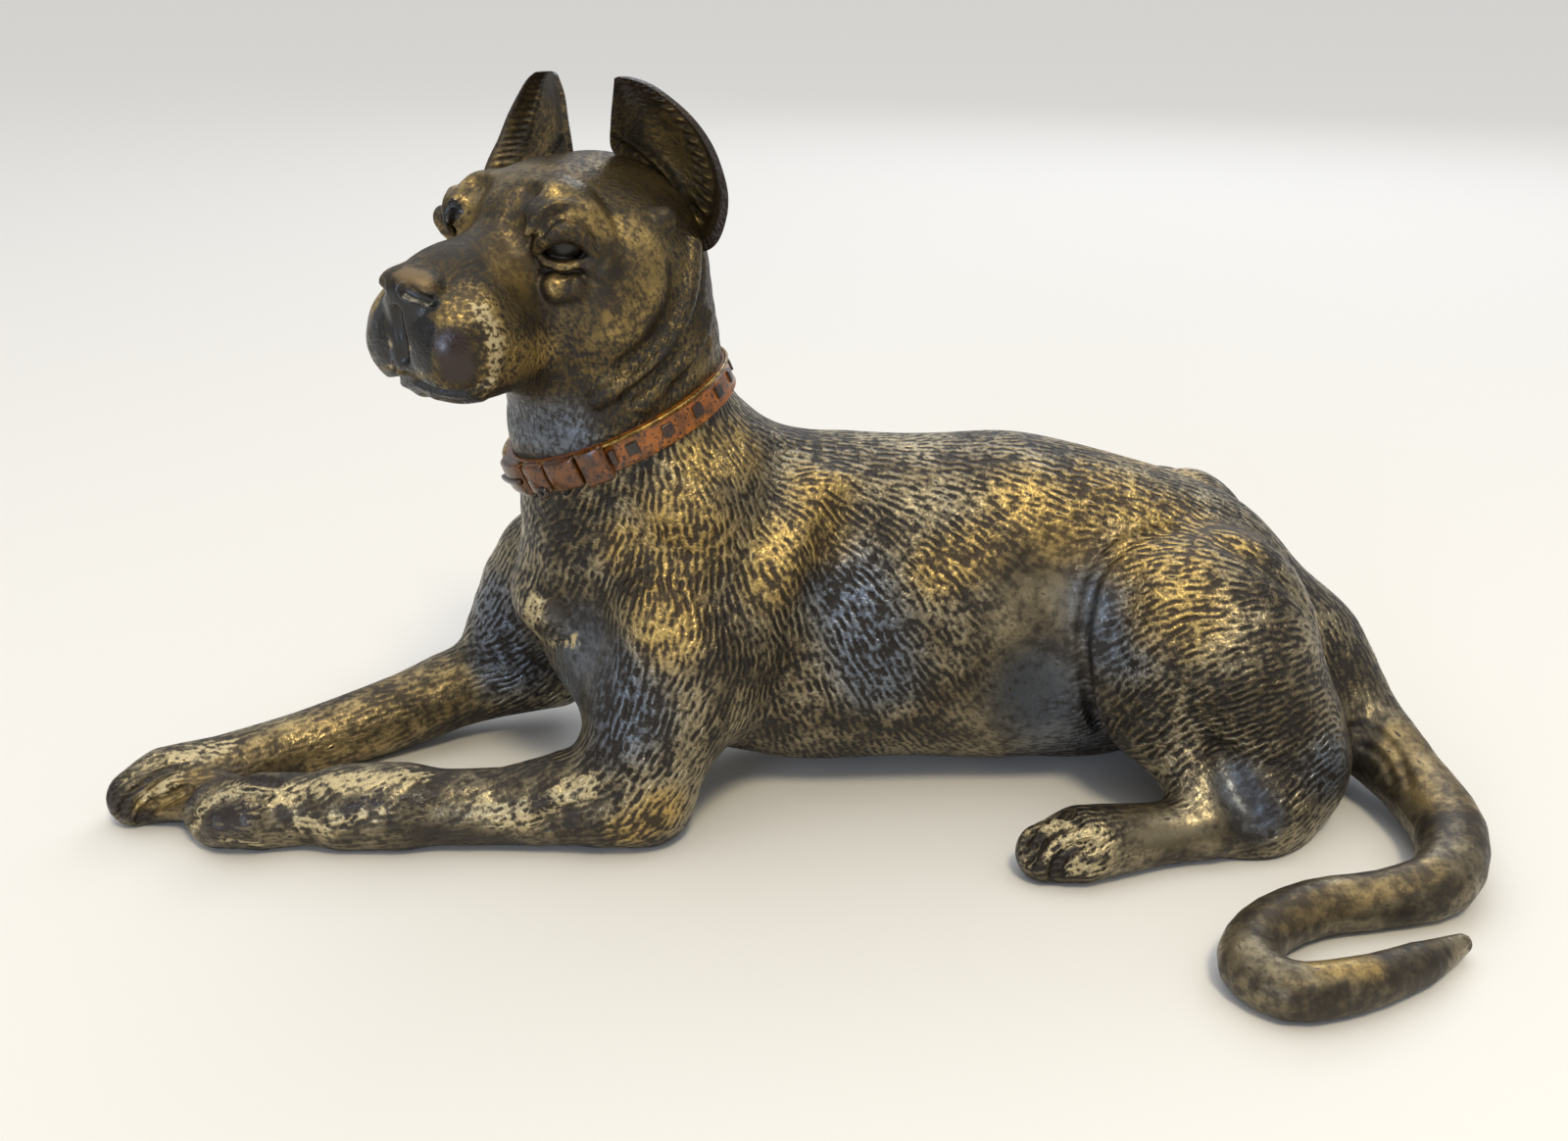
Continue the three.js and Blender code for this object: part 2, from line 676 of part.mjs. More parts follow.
// Where each part of the collar sits round the neck, in degrees from the front toward the left
const buckleTurn = 32;
const tongueTurn = 66;
const keeperTurn = 84;
const firstStudTurn = 102;
const lastStudTurn = 318;
const studCount = 13;
const degreesOf = (length) => THREE.MathUtils.radToDeg(length / strapOuter);
const around = (turn, length) => [turn - degreesOf(length) / 2, turn + degreesOf(length) / 2];

const buckleWidth = strapWidth + 1.6 * buckleWall;
const windowLength = buckleLength - 2 * buckleWall;
const windowWidth = strapWidth - 0.4 * buckleWall;
const keeperWindow = strapWidth + 2 * seamGap;
const keeperWidth = keeperWindow + 2 * keeperWall;
const prongLength = buckleLength + prongThickness;
const prongWidth = 1.3 * prongThickness;
const tongueWidth = 0.94 * strapWidth;

const studs = Array.from({ length: studCount }, (_, index) => {
  const turn = mix(firstStudTurn, lastStudTurn, index / (studCount - 1));
  return band(strapInner + strapThickness / 2, strapOuter + studHeight, around(turn, studSide), studSide);
});
const strap = studs.reduce(
  (sum, stud) => sum.add(stud),
  ringSolid(strapInner, strapOuter, strapWidth));

const tongueFrom = buckleTurn + degreesOf(buckleLength / 2 + seamGap);
const tongue = band(tongueInner, tongueOuter, [tongueFrom, 2 * tongueTurn - tongueFrom], tongueWidth);

const frameWindow = band(
  frameInner - throughCut, frameOuter + throughCut, around(buckleTurn, windowLength), windowWidth);
const buckle = band(frameInner, frameOuter, around(buckleTurn, buckleLength), buckleWidth)
  .subtract(frameWindow);
const prong = band(prongInner, prongInner + prongThickness, around(buckleTurn, prongLength), prongWidth);

const keeperFoot = strapOuter - strapThickness / 2;
const keeperThrough = band(
  keeperFoot - throughCut, keeperInner, around(keeperTurn, 2 * keeperLength), keeperWindow);
const keeper = band(keeperFoot, keeperOuter, around(keeperTurn, keeperLength), keeperWidth)
  .subtract(keeperThrough);

// The seat that the collar needs in the neck, with a clearance round strap, keeper and frame
const seatOuter = keeperOuter + throughCut;
const wider = 2 * seamGap;
const collarSeat = ringSolid(seatRadius, seatOuter, strapWidth + wider)
  .add(band(keeperFoot - seamGap, seatOuter, around(keeperTurn, keeperLength + wider), keeperWidth + wider))
  .add(band(frameInner - seamGap, seatOuter, around(buckleTurn, prongLength + wider), buckleWidth + wider));

// The ears are cupped leaves: a front edge, an outer edge, and a hollow bowed back between them
const earFrontShares = [
  [0.02, 0.12, 0.32],
  [-0.004, 0.19, 0.48],
  [-0.004, 0.21, 0.68],
  [-0.01, 0.22, 0.832],
];
const earOuterShares = [
  [-0.11, 0.48, -0.22],
  [-0.14, 0.6, 0.06],
  [-0.15, 0.66, 0.36],
  [-0.13, 0.58, 0.6],
  [-0.08, 0.41, 0.77],
  [-0.03, 0.29, 0.832],
];
const earTurnDegrees = { left: 0, right: 17 };
const earBowShare = 0.4;
const earRimShare = 0.35;
const earTipShare = 0.6;
const earColumns = 6;
const earRows = 8;

function earLeaf(side, turnDegrees) {
  const edge = (shares) => new THREE.CatmullRomCurve3(
    shares.map(([ahead, left, rise]) => headPoint([ahead, side * left, rise])));
  const front = edge(earFrontShares);
  const outer = edge(earOuterShares);
  const positions = [];
  for (const face of [1, -1]) {
    for (let row = 0; row <= earRows; row += 1) {
      const share = row / earRows;
      const near = front.getPoint(share);
      const far = outer.getPoint(share);
      const chord = far.clone().sub(near);
      const facing = chord.clone().cross(up).normalize().multiplyScalar(side);
      for (let column = 0; column <= earColumns; column += 1) {
        const across = column / earColumns;
        const bow = 4 * across * (1 - across);
        const thin = earWall * mix(earRimShare, 1, bow) * mix(1, earTipShare, share);
        positions.push(...near.clone()
          .addScaledVector(chord, across)
          .addScaledVector(facing, (face * thin) / 2 - bow * earBowShare * chord.length())
          .toArray());
      }
    }
  }
  const sheet = (earRows + 1) * (earColumns + 1);
  const spot = (face, row, column) => face * sheet + row * (earColumns + 1) + column;
  const triangles = [];
  const quad = (a, b, c, d) => triangles.push(...(side > 0 ? [a, b, c, a, c, d] : [a, c, b, a, d, c]));
  for (let row = 0; row < earRows; row += 1) {
    for (let column = 0; column < earColumns; column += 1) {
      const [next, above] = [column + 1, row + 1];
      quad(spot(0, row, column), spot(0, row, next), spot(0, above, next), spot(0, above, column));
      quad(spot(1, row, column), spot(1, above, column), spot(1, above, next), spot(1, row, next));
    }
    quad(spot(0, row, 0), spot(0, row + 1, 0), spot(1, row + 1, 0), spot(1, row, 0));
    quad(
      spot(0, row, earColumns), spot(1, row, earColumns),
      spot(1, row + 1, earColumns), spot(0, row + 1, earColumns));
  }
  for (let column = 0; column < earColumns; column += 1) {
    quad(spot(0, 0, column), spot(1, 0, column), spot(1, 0, column + 1), spot(0, 0, column + 1));
    quad(
      spot(0, earRows, column), spot(0, earRows, column + 1),
      spot(1, earRows, column + 1), spot(1, earRows, column));
  }
  const geometry = new THREE.BufferGeometry();
  geometry.setAttribute('position', new THREE.BufferAttribute(new Float32Array(positions), 3));
  geometry.setIndex(triangles);
  const root = headPoint(earFrontShares[0].map((share, axis) => (axis === 1 ? side * share : share)));
  return solid(geometry
    .translate(-root.x, -root.y, -root.z)
    .rotateZ(THREE.MathUtils.degToRad(turnDegrees))
    .translate(root.x, root.y, root.z));
}

// A dowel crosses each seam at its middle, square to it, in a bore with a clearance all round
const pegSides = 12;

function peg(at, normal, diameter, length) {
  const turn = new THREE.Quaternion().setFromUnitVectors(new THREE.Vector3(0, 1, 0), normal);
  return solid(new THREE.CylinderGeometry(diameter / 2, diameter / 2, length, pegSides)
    .applyQuaternion(turn)
    .translate(...at));
}

const dowelBores = Object.values(seams).map(({ at, normal }) =>
  peg(at, normal, dowelDiameter + wider, dowelLength + wider));

// Finishes: dark patinated bronze, orange painted strap, brown painted buckle, plain brass dowels
const finish = (color, roughness, metalness) =>
  new THREE.MeshStandardMaterial({ color, roughness, metalness });
const bronze = finish(0x6b5d45, 0.4, 1);
const orangePaint = finish(0xb5541c, 0.45, 0);
const brownPaint = finish(0x6b2f14, 0.4, 0);
const brass = finish(0xb08d4a, 0.35, 1);

const figure = new THREE.Group();
function add(name, manifold, material) {
  const mesh = new THREE.Mesh(geometryOf(manifold), material);
  mesh.name = name;
  figure.add(mesh);
}

// The castings: the box of shares that each one lies in, and how fine its mesh is; the table cuts
// flat feet under them
const slab = new THREE.BoxGeometry(tableLength, tableLength, tableDepth);
const table = solid(slab.translate(0, 0, -tableDepth / 2));
const boxShares = {
  torso_casting: [[-0.4, -0.4, -0.1], [0.92, 0.9, 1.24]],
  head_casting: [[-0.62, -0.6, 0.84], [0.04, 0.46, 1.76]],
  left_foreleg: [[-0.82, -0.46, -0.1], [0.06, 0.1, 0.64]],
  right_foreleg: [[-0.95, -0.3, -0.1], [-0.1, 0.75, 0.74]],
  left_hind_leg: [[0.24, -0.58, -0.1], [0.8, 0.2, 0.9]],
  right_hind_leg: [[0.24, 0.4, -0.1], [0.8, 1.1, 0.9]],
  tail_casting: [[0.42, -1.1, -0.1], [0.96, 0.2, 0.44]],
};
const cells = {
  torso_casting: trunkCell,
  head_casting: headCell,
  left_foreleg: limbCell,
  right_foreleg: limbCell,
  left_hind_leg: limbCell,
  right_hind_leg: limbCell,
  tail_casting: tailCell,
};

function meshIn(name, field) {
  const [low, high] = boxShares[name].map(place);
  return solid(meshOf(inside(field, boxed(low, high)), low, high, cells[name]));
}

const headBlank = meshIn('head_casting', casting('head_casting'));
const castings = {
  torso_casting: meshIn('torso_casting', torsoField),
  head_casting: faceNubs.reduce((sum, nub) => sum.add(nub), headBlank),
};
for (const name of Object.keys(envelopes)) castings[name] ??= meshIn(name, casting(name));
const { torso_casting: torsoBlank, ...mates } = castings;
castings.torso_casting = without(torsoBlank, ...Object.values(mates));
for (const [name, blank] of Object.entries(castings)) {
  add(name, without(blank, table, collarSeat, ...dowelBores), bronze);
}

const earSeat = meshIn('head_casting', inside(grown(dog, seamGap), envelopes.head_casting));
add('left_ear', earLeaf(1, earTurnDegrees.left).subtract(earSeat), bronze);
add('right_ear', earLeaf(-1, earTurnDegrees.right).subtract(earSeat), bronze);

add('collar_strap', strap, orangePaint);
add('collar_tongue', tongue, orangePaint);
add('collar_buckle', buckle, brownPaint);
add('collar_prong', prong, brownPaint);
add('collar_keeper', keeper, brownPaint);

for (const [name, { at, normal }] of Object.entries(seams)) {
  const owner = name.replace('_casting', '');
  add(`${owner}_dowel`, peg(at, normal, dowelDiameter, dowelLength), brass);
}

// The origin is on the table under the middle of the figure
const box = new THREE.Box3().setFromObject(figure);
figure.position.set(-(box.min.x + box.max.x) / 2, -(box.min.y + box.max.y) / 2, -box.min.z);

export default figure;
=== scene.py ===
# %% [markdown]
# # A lying dog in patinated bronze
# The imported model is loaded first. It gives the place and size of every casting, and its box is the
# limit that the finished skin stays in.

# %% Load the frame
import bpy
import json
import math
import numpy as np
import openvdb
from mathutils import Matrix, Vector

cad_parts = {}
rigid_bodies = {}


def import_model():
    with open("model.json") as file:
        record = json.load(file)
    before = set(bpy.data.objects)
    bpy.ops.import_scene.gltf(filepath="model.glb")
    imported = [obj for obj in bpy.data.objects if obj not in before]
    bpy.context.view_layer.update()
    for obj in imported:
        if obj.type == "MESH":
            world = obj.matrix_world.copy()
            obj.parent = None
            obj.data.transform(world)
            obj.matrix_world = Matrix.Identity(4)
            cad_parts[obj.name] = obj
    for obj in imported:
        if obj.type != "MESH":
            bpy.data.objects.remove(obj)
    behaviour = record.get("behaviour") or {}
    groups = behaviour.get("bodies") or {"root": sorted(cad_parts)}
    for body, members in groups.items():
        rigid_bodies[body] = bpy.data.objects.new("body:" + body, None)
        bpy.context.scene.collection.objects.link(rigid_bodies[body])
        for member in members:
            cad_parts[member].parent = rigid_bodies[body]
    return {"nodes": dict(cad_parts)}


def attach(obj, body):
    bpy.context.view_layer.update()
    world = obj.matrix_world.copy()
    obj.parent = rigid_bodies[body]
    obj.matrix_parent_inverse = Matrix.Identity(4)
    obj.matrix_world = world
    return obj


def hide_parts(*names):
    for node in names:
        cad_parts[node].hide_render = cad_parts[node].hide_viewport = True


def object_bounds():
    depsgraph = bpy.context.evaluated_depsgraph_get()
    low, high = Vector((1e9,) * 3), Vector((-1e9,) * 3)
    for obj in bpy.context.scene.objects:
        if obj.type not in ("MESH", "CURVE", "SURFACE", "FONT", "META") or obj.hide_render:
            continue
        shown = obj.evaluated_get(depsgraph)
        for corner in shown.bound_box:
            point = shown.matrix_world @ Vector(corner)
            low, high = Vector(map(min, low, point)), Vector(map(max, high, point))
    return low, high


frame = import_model()
cad_box = [list(corner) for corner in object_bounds()]
print("CAD box", cad_box)

# %% [markdown]
# Sizes below are in millimetres, as a maker would write them. The solids were moved so that the
# origin is on the table under the middle of the figure, and the same shift is made here.

# %% Millimetres and the shift to the frame
MM = 0.001
low_mm = np.array(cad_box[0]) / MM
high_mm = np.array(cad_box[1]) / MM
shift = np.array([0.657, 1.158, 0.0])


def deselect():
    for thing in bpy.context.view_layer.objects:
        thing.select_set(False)


def activate(thing):
    deselect()
    thing.select_set(True)
    bpy.context.view_layer.objects.active = thing


# %% [markdown]
# ## Camera, floor and light
# The figure was seen from the front of its left side, from 22 degrees above the table, at about
# 20 cm, so near things look larger than far ones. A wide lens from close by gives the same drawing.

# %% Camera
camera_data = bpy.data.cameras.new("camera")
camera_data.lens = 36.0
camera_data.sensor_width = 36.0
camera_data.clip_start = 0.005
camera = bpy.data.objects.new("camera", camera_data)
bpy.context.scene.collection.objects.link(camera)
camera.location = Vector((0.0 + shift[0], -188.031 + shift[1], 108.734)) * MM
camera.rotation_euler = (math.radians(68.0), 0.0, 0.0)
bpy.context.scene.camera = camera
print("camera at", tuple(round(value, 4) for value in camera.location))


# %% [markdown]
# A colour is written as sRGB hex, as a picker shows it, and one function turns it to the linear
# values that the shaders want. One small function adds a node with its settings and its links. An
# input is named as on the node, with _ for a space, or by its number, as i5. It gives back the node,
# or the output that give names.

# %% Colour and node helpers
def colour(code):
    parts = [int(code[i:i + 2], 16) / 255 for i in (1, 3, 5)]
    line = [p / 12.92 if p <= 0.04045 else ((p + 0.055) / 1.055) ** 2.4 for p in parts]
    return (*line, 1.0)


def material(name):
    made = bpy.data.materials.new(name)
    made.use_nodes = True
    made.node_tree.nodes.clear()
    return made


def node(tree, kind, settings=None, give=None, **inputs):
    added = tree.nodes.new("ShaderNode" + kind)
    for key, value in (settings or {}).items():
        setattr(added, key, value)
    for key, value in inputs.items():
        socket = added.inputs[int(key[1:]) if key[1:].isdigit() else key.replace("_", " ")]
        if isinstance(value, bpy.types.NodeSocket):
            tree.links.new(value, socket)
        else:
            socket.default_value = value
    return added if give is None else added.outputs[give]


print("middle grey #808080 in linear light:", [round(part, 3) for part in colour("#808080")[:3]])


# %% [markdown]
# The floor is a plain pale plane under the figure. The lamps are large and soft, and bright enough that a
# colour renders about as it is written.

# %% Floor and lamps
bpy.ops.mesh.primitive_plane_add(size=40.0, location=(0.0, 0.0, 0.0))
floor = bpy.context.active_object
floor.name = "floor"
# Matt paper gives no gleam, so the figure's own shine stands out against it
floor_finish = material("pale matt paper")
tree = floor_finish.node_tree
shade = node(tree, "BsdfPrincipled", None, 0, Base_Color=colour("#dcdad6"), Roughness=0.9,
             Specular_IOR_Level=0.1)
node(tree, "OutputMaterial", Surface=shade)
floor.data.materials.append(floor_finish)

world = bpy.data.worlds.new("studio")
bpy.context.scene.world = world
world.use_nodes = True
tree = world.node_tree
tree.nodes.clear()
room = node(tree, "Background", None, 0, Color=colour("#eff1f4"), Strength=0.52)
node(tree, "OutputWorld", Surface=room)


def lamp(name, place, target, size, power, tint):
    data = bpy.data.lights.new(name, "AREA")
    data.shape = "RECTANGLE"
    data.size, data.size_y = size
    data.energy = power
    data.color = colour(tint)[:3]
    thing = bpy.data.objects.new(name, data)
    bpy.context.scene.collection.objects.link(thing)
    thing.location = place
    thing.rotation_euler = (Vector(target) - Vector(place)).to_track_quat("-Z", "Y").to_euler()
    return thing


chest_height = (0.0, 0.0, 0.03)
lamp("warm window above", (0.12, -0.42, 0.72), chest_height, (0.15, 0.15), 3.1, "#fff0cc")
lamp("cool window low", (-0.35, -0.75, 0.22), chest_height, (0.22, 0.2), 1.6, "#cfe0ff")
lamp("sky behind", (0.25, 0.65, 0.45), chest_height, (0.5, 0.3), 1.2, "#e8f0ff")
bpy.ops.object.light_add(type="SUN", location=(0.0, 0.0, 1.0), rotation=(math.radians(-15.0), 0.0, 0.0))
ceiling = bpy.context.active_object
ceiling.name = "soft ceiling"
ceiling.data.energy = 1.5
ceiling.data.angle = math.radians(90.0)
print("lamps:", [light.name for light in bpy.data.lights])

# %% [markdown]
# ## The clay
# The sculptor's dog is one smooth body of clay. Such a form is described here as a field: a
# function of a point that is negative inside the clay and grows with the distance from it. Balls
# and tapered limbs are the lumps, and a soft minimum smooths the place where two lumps meet.
# Modelling with operators alone can't give a skin that flows so freely, so this piece is made in code.


# %% Fields
def ball(centre, half):
    cx, cy, cz = centre
    hx, hy, hz = half

    def field(x, y, z):
        a, b, c = (x - cx) / hx, (y - cy) / hy, (z - cz) / hz
        near = np.sqrt(a * a + b * b + c * c) + 1e-9
        slope = np.sqrt((a / hx) ** 2 + (b / hy) ** 2 + (c / hz) ** 2) + 1e-9
        return near * (near - 1) / slope
    return field


def softer(a, b, softness):
    ease = np.maximum(softness - np.abs(a - b), 0) / softness
    return np.minimum(a, b) - ease * ease * softness / 4


def blend(softness, fields):
    def field(x, y, z):
        total = fields[0](x, y, z)
        for other in fields[1:]:
            total = softer(total, other(x, y, z), softness)
        return total
    return field


def carve(base, cutter, softness):
    return lambda x, y, z: -softer(-base(x, y, z), cutter(x, y, z), softness)


def inside(*fields):
    def field(x, y, z):
        most = fields[0](x, y, z)
        for other in fields[1:]:
            most = np.maximum(most, other(x, y, z))
        return most
    return field


one_ball = ball((0.0, 0.0, 0.0), (5.0, 5.0, 5.0))
print("2 mm outside a ball of radius 5 mm the field is", round(float(one_ball(7.0, 0.0, 0.0)), 3))


# %% [markdown]
# A limb is a smooth curve through its stations, drawn as a chain of short tapers. Each station is a
# place and a thickness. Far from the limb only the distance to its bounding ball is worked out.


# %% Limbs
def smooth_path(points, per_span):
    points = np.array(points, float)
    first, last = 2 * points[0] - points[1], 2 * points[-1] - points[-2]
    p = np.vstack([first, points, last])
    rows = []
    for i in range(len(points) - 1):
        p0, p1, p2, p3 = p[i], p[i + 1], p[i + 2], p[i + 3]
        d0, d1, d2 = (max(np.linalg.norm(b - a), 1e-4) ** 0.5 for a, b in ((p0, p1), (p1, p2), (p2, p3)))
        t1 = ((p1 - p0) / d0 - (p2 - p0) / (d0 + d1) + (p2 - p1) / d1) * d1
        t2 = ((p2 - p1) / d1 - (p3 - p1) / (d1 + d2) + (p3 - p2) / d2) * d1
        for k in range(per_span):
            t = k / per_span
            c2, c3 = -3 * p1 + 3 * p2 - 2 * t1 - t2, 2 * p1 - 2 * p2 + t1 + t2
            rows.append(p1 + t1 * t + c2 * t * t + c3 * t ** 3)
    rows.append(points[-1])
    return np.array(rows)


def limb(stations, per_span=3, margin=14.0):
    path = smooth_path([s[:3] for s in stations], per_span)
    radius = np.interp(np.arange(len(path)) / per_span, range(len(stations)), [s[3] / 2 for s in stations])
    middle = (path.min(0) + path.max(0)) / 2
    reach = np.linalg.norm(path - middle, axis=1).max() + radius.max()
    along = np.diff(path, axis=0)

    def field(x, y, z):
        outer = np.sqrt((x - middle[0]) ** 2 + (y - middle[1]) ** 2 + (z - middle[2]) ** 2) - reach
        near = outer < margin
        if not near.any():
            return outer
        p, q, r = (np.subtract.outer(values[near], start) for values, start in zip((x, y, z), path[:-1].T))
        t = np.clip((p * along[:, 0] + q * along[:, 1] + r * along[:, 2]) / (along ** 2).sum(1), 0, 1)
        d = np.sqrt((p - t * along[:, 0]) ** 2 + (q - t * along[:, 1]) ** 2 + (r - t * along[:, 2]) ** 2)
        result = outer.copy()
        result[near] = (d - radius[:-1] - t * np.diff(radius)).min(1)
        return result
    return field


one_limb = limb([(0.0, 0.0, 0.0, 4.0), (20.0, 0.0, 0.0, 2.0)])
print("3 mm beside the middle of a taper:", one_limb(*np.array([[10.0], [3.0], [0.0]])).round(3))


# %% [markdown]
# The dog's own sizes. Places are shares of the length from withers to tail root, the stance width
# and the height of the back, as in the solids, so that the skin lies on them.

# %% Sizes and tables of the body
back_length, stance_width, back_height = 100.0, 50.0, 50.0
head_length, head_width, head_height = 50.0, 25.0, 25.0
span = np.array([back_length, stance_width, back_height])


def place(share):
    return np.array(share[:3]) * span


def stations(rows, thickness):
    return [(*place(row), row[3] * thickness) for row in rows]


def lump(at, half):
    return ball(place(at), place(half))


trunk = blend(3.0, [
    blend(9.0, [
        lump((-0.17, 0.14, 0.55), (0.17, 0.3, 0.42)),
        lump((0.03, 0.22, 0.49), (0.24, 0.34, 0.47)),
        lump((0.28, 0.24, 0.48), (0.27, 0.34, 0.47)),
        lump((0.49, 0.27, 0.45), (0.22, 0.33, 0.37)),
        lump((0.665, 0.25, 0.27), (0.125, 0.2, 0.24)),
    ]),
    lump((0.42, 0.2, 0.1), (0.09, 0.08, 0.08)),
    lump((-0.318, 0.05, 0.57), (0.04, 0.1, 0.09)),
])
collar_share = (-0.208, 0.08, 1.05)
neck_rows = [(-0.17, 0.14, 0.8, 1.1), (*collar_share, 1.0), (-0.208, 0.07, 1.24, 0.9),
             (-0.205, 0.06, 1.4, 0.8)]
neck = limb(stations(neck_rows, 28.4))

left_upper_rows = [(-0.11, 0.04, 0.66, 1.26), (-0.145, -0.1, 0.42, 1.0), (-0.175, -0.19, 0.24, 0.86),
                   (-0.19, -0.22, 0.15, 0.74)]
left_fore_rows = [(-0.175, -0.22, 0.1, 1.14), (-0.24, -0.23, 0.125, 1.4), (-0.36, -0.24, 0.098, 1.04),
                  (-0.52, -0.24, 0.096, 1.0), (-0.6, -0.24, 0.09, 0.94), (-0.67, -0.245, 0.085, 1.04),
                  (-0.725, -0.25, 0.068, 0.81)]
right_upper_rows = [(-0.15, 0.42, 0.7, 1.26), (-0.325, 0.44, 0.49, 0.98), (-0.39, 0.42, 0.28, 0.8)]
right_fore_rows = [(-0.34, 0.44, 0.17, 1.25), (-0.46, 0.37, 0.15, 1.22), (-0.54, 0.28, 0.115, 1.1),
                   (-0.67, 0.11, 0.088, 0.96), (-0.76, -0.02, 0.085, 0.94), (-0.82, -0.1, 0.083, 1.04),
                   (-0.855, -0.14, 0.066, 0.8)]
left_foreleg = blend(3.0, [limb(stations(left_upper_rows, 19.0)), limb(stations(left_fore_rows, 9.6))])
right_foreleg = blend(3.0, [limb(stations(right_upper_rows, 19.0)), limb(stations(right_fore_rows, 9.6))])

rump_share = 0.28
shank_rows = [(0.49, 0.38, 0.28, 0.9), (0.54, 0.46, 0.17, 0.74), (0.6, 0.54, 0.09, 0.68)]
foot_rows = [(0.6, 0.55, 0.083, 1.0), (0.47, 0.62, 0.076, 0.9), (0.37, 0.68, 0.084, 1.11),
             (0.325, 0.69, 0.066, 0.85)]


def hind_leg(side, spread):
    def out(row):
        return (row[0], rump_share + side * spread * row[1], *row[2:])
    return blend(3.0, [
        blend(4.5, [
            lump(out((0.565, 0.28, 0.47)), (0.125, 0.24, 0.29)),
            lump(out((0.485, 0.31, 0.55)), (0.085, 0.16, 0.17)),
            lump(out((0.49, 0.35, 0.36)), (0.08, 0.15, 0.19)),
        ]),
        lump(out((0.645, 0.41, 0.16)), (0.072, 0.12, 0.15)),
        limb(stations([out(row) for row in shank_rows], 13.0)),
        limb(stations([out(row) for row in foot_rows], 8.8)),
    ])


left_hind_leg = hind_leg(-1, 1.0)
right_hind_leg = hind_leg(1, 0.88)

tail_rows = [(0.73, 0.22, 0.28, 1.88), (0.79, 0.06, 0.17, 1.46), (0.825, -0.13, 0.115, 1.16),
             (0.835, -0.36, 0.09, 1.12), (0.79, -0.55, 0.074, 1.0), (0.71, -0.61, 0.064, 0.85),
             (0.62, -0.65, 0.064, 0.84), (0.545, -0.75, 0.064, 0.84), (0.515, -0.87, 0.064, 0.84),
             (0.545, -0.955, 0.062, 0.82), (0.62, -0.93, 0.056, 0.76), (0.71, -0.84, 0.046, 0.62),
             (0.775, -0.755, 0.04, 0.3)]
tail = limb(stations(tail_rows, 8.0))

forequarters = blend(9.0, [trunk, left_foreleg, right_foreleg, tail, neck])
bare_body = blend(3.0, [forequarters, left_hind_leg, right_hind_leg])
print("stations of tail and left foreleg:", len(tail_rows), len(left_upper_rows) + len(left_fore_rows))

# %% [markdown]
# Muscles show through the skin. Each line of rough places is moved on to the clay, and a bead along
# it is pressed on or cut in. Its width and its lift off the skin are shares of one muscle thickness.
# The far side has some of them too, mirrored across the middle of the ribs.

# %% Muscles
muscle_thickness = 10.0
ribs_share = 0.2
rump_middle = rump_share * stance_width
muscle_rows = [
    ("press", True, 1.5, -0.6, [(-0.13, -0.08, 0.85), (-0.11, -0.09, 0.8)]),
    ("press", False, 1.4, -0.56, [(-0.15, -0.13, 0.64), (-0.13, -0.15, 0.56)]),
    ("cut", False, 0.6, 0.23, [(-0.2, -0.26, 0.81), (-0.11, -0.27, 0.77)]),
    ("cut", True, 0.9, 0.36, [(0.02, 0.02, 0.92), (0, -0.08, 0.87), (-0.04, -0.2, 0.77),
                              (-0.06, -0.24, 0.7)]),
    ("press", False, 0.7, -0.27, [(0.05, 0.02, 0.86), (0.04, 0, 0.82), (0.01, -0.07, 0.7)]),
    ("cut", False, 0.7, 0.25, [(0.09, -0.03, 0.8), (0.07, -0.11, 0.7), (0.05, -0.15, 0.55),
                               (0.02, -0.14, 0.38)]),
    ("cut", False, 0.8, 0.3, [(-0.21, -0.2, 0.89), (-0.24, -0.2, 0.72), (-0.26, -0.2, 0.53)]),
    ("cut", True, 1.5, 0.62, [(0.36, -0.08, 0.66), (0.35, -0.1, 0.52), (0.34, -0.09, 0.36)]),
]


def slope_of(field, points, step=0.2):
    axes = np.eye(3) * step
    parts = [field(*(points + axis).T) - field(*(points - axis).T) for axis in axes]
    normal = np.stack(parts, -1)
    return normal / np.maximum(np.linalg.norm(normal, axis=1, keepdims=True), 1e-9)


def settled(field, points, lift):
    for _ in range(20):
        points = points + slope_of(field, points) * (lift - field(*points.T))[:, None]
    return points


def worked_bead(field, way, softness, path, width):
    if len(path) == 1:
        bead = ball(path[0], (width[0] / 2,) * 3)
    else:
        bead = limb([(*point, w) for point, w in zip(path, width)], margin=6.0)
    return blend(softness, [field, bead]) if way == "press" else carve(field, bead, softness)


def with_muscles(skin):
    result = skin
    for way, far, width, lift, line in muscle_rows:
        near_line = np.array([place(share) for share in line])
        far_line = near_line * [1, -1, 1] + [0, 2 * ribs_share * stance_width, 0]
        for points in (near_line, far_line) if far else (near_line,):
            path = settled(skin, points, lift * muscle_thickness)
            result = worked_bead(result, way, 4.5, path, [width * muscle_thickness] * len(path))
    return result


rough_body = with_muscles(bare_body)
print("muscle lines:", len(muscle_rows))

# %% [markdown]
# ## Reading places off the figure
# Small forms on the near side are placed where they are seen. A ray goes from the camera through a
# picture point, counted in pixels of a 1600 by 1164 image, and stops where it meets the clay.

# %% Rays to the clay
eye_point = np.array([0.0, -188.031, 108.734])
tilt = math.radians(22.0)
look = np.array([0.0, math.cos(tilt), -math.sin(tilt)])
rise = np.array([0.0, math.sin(tilt), math.cos(tilt)])
picture_middle = np.array([800.0, 582.0])
lens_pixels = 1600.0


def rays_through(pixels):
    right, down = ((np.array(pixels, float) - picture_middle) / lens_pixels).T
    rays = look + np.outer(right, [1.0, 0.0, 0.0]) - np.outer(down, rise)
    return rays / np.linalg.norm(rays, axis=1, keepdims=True)


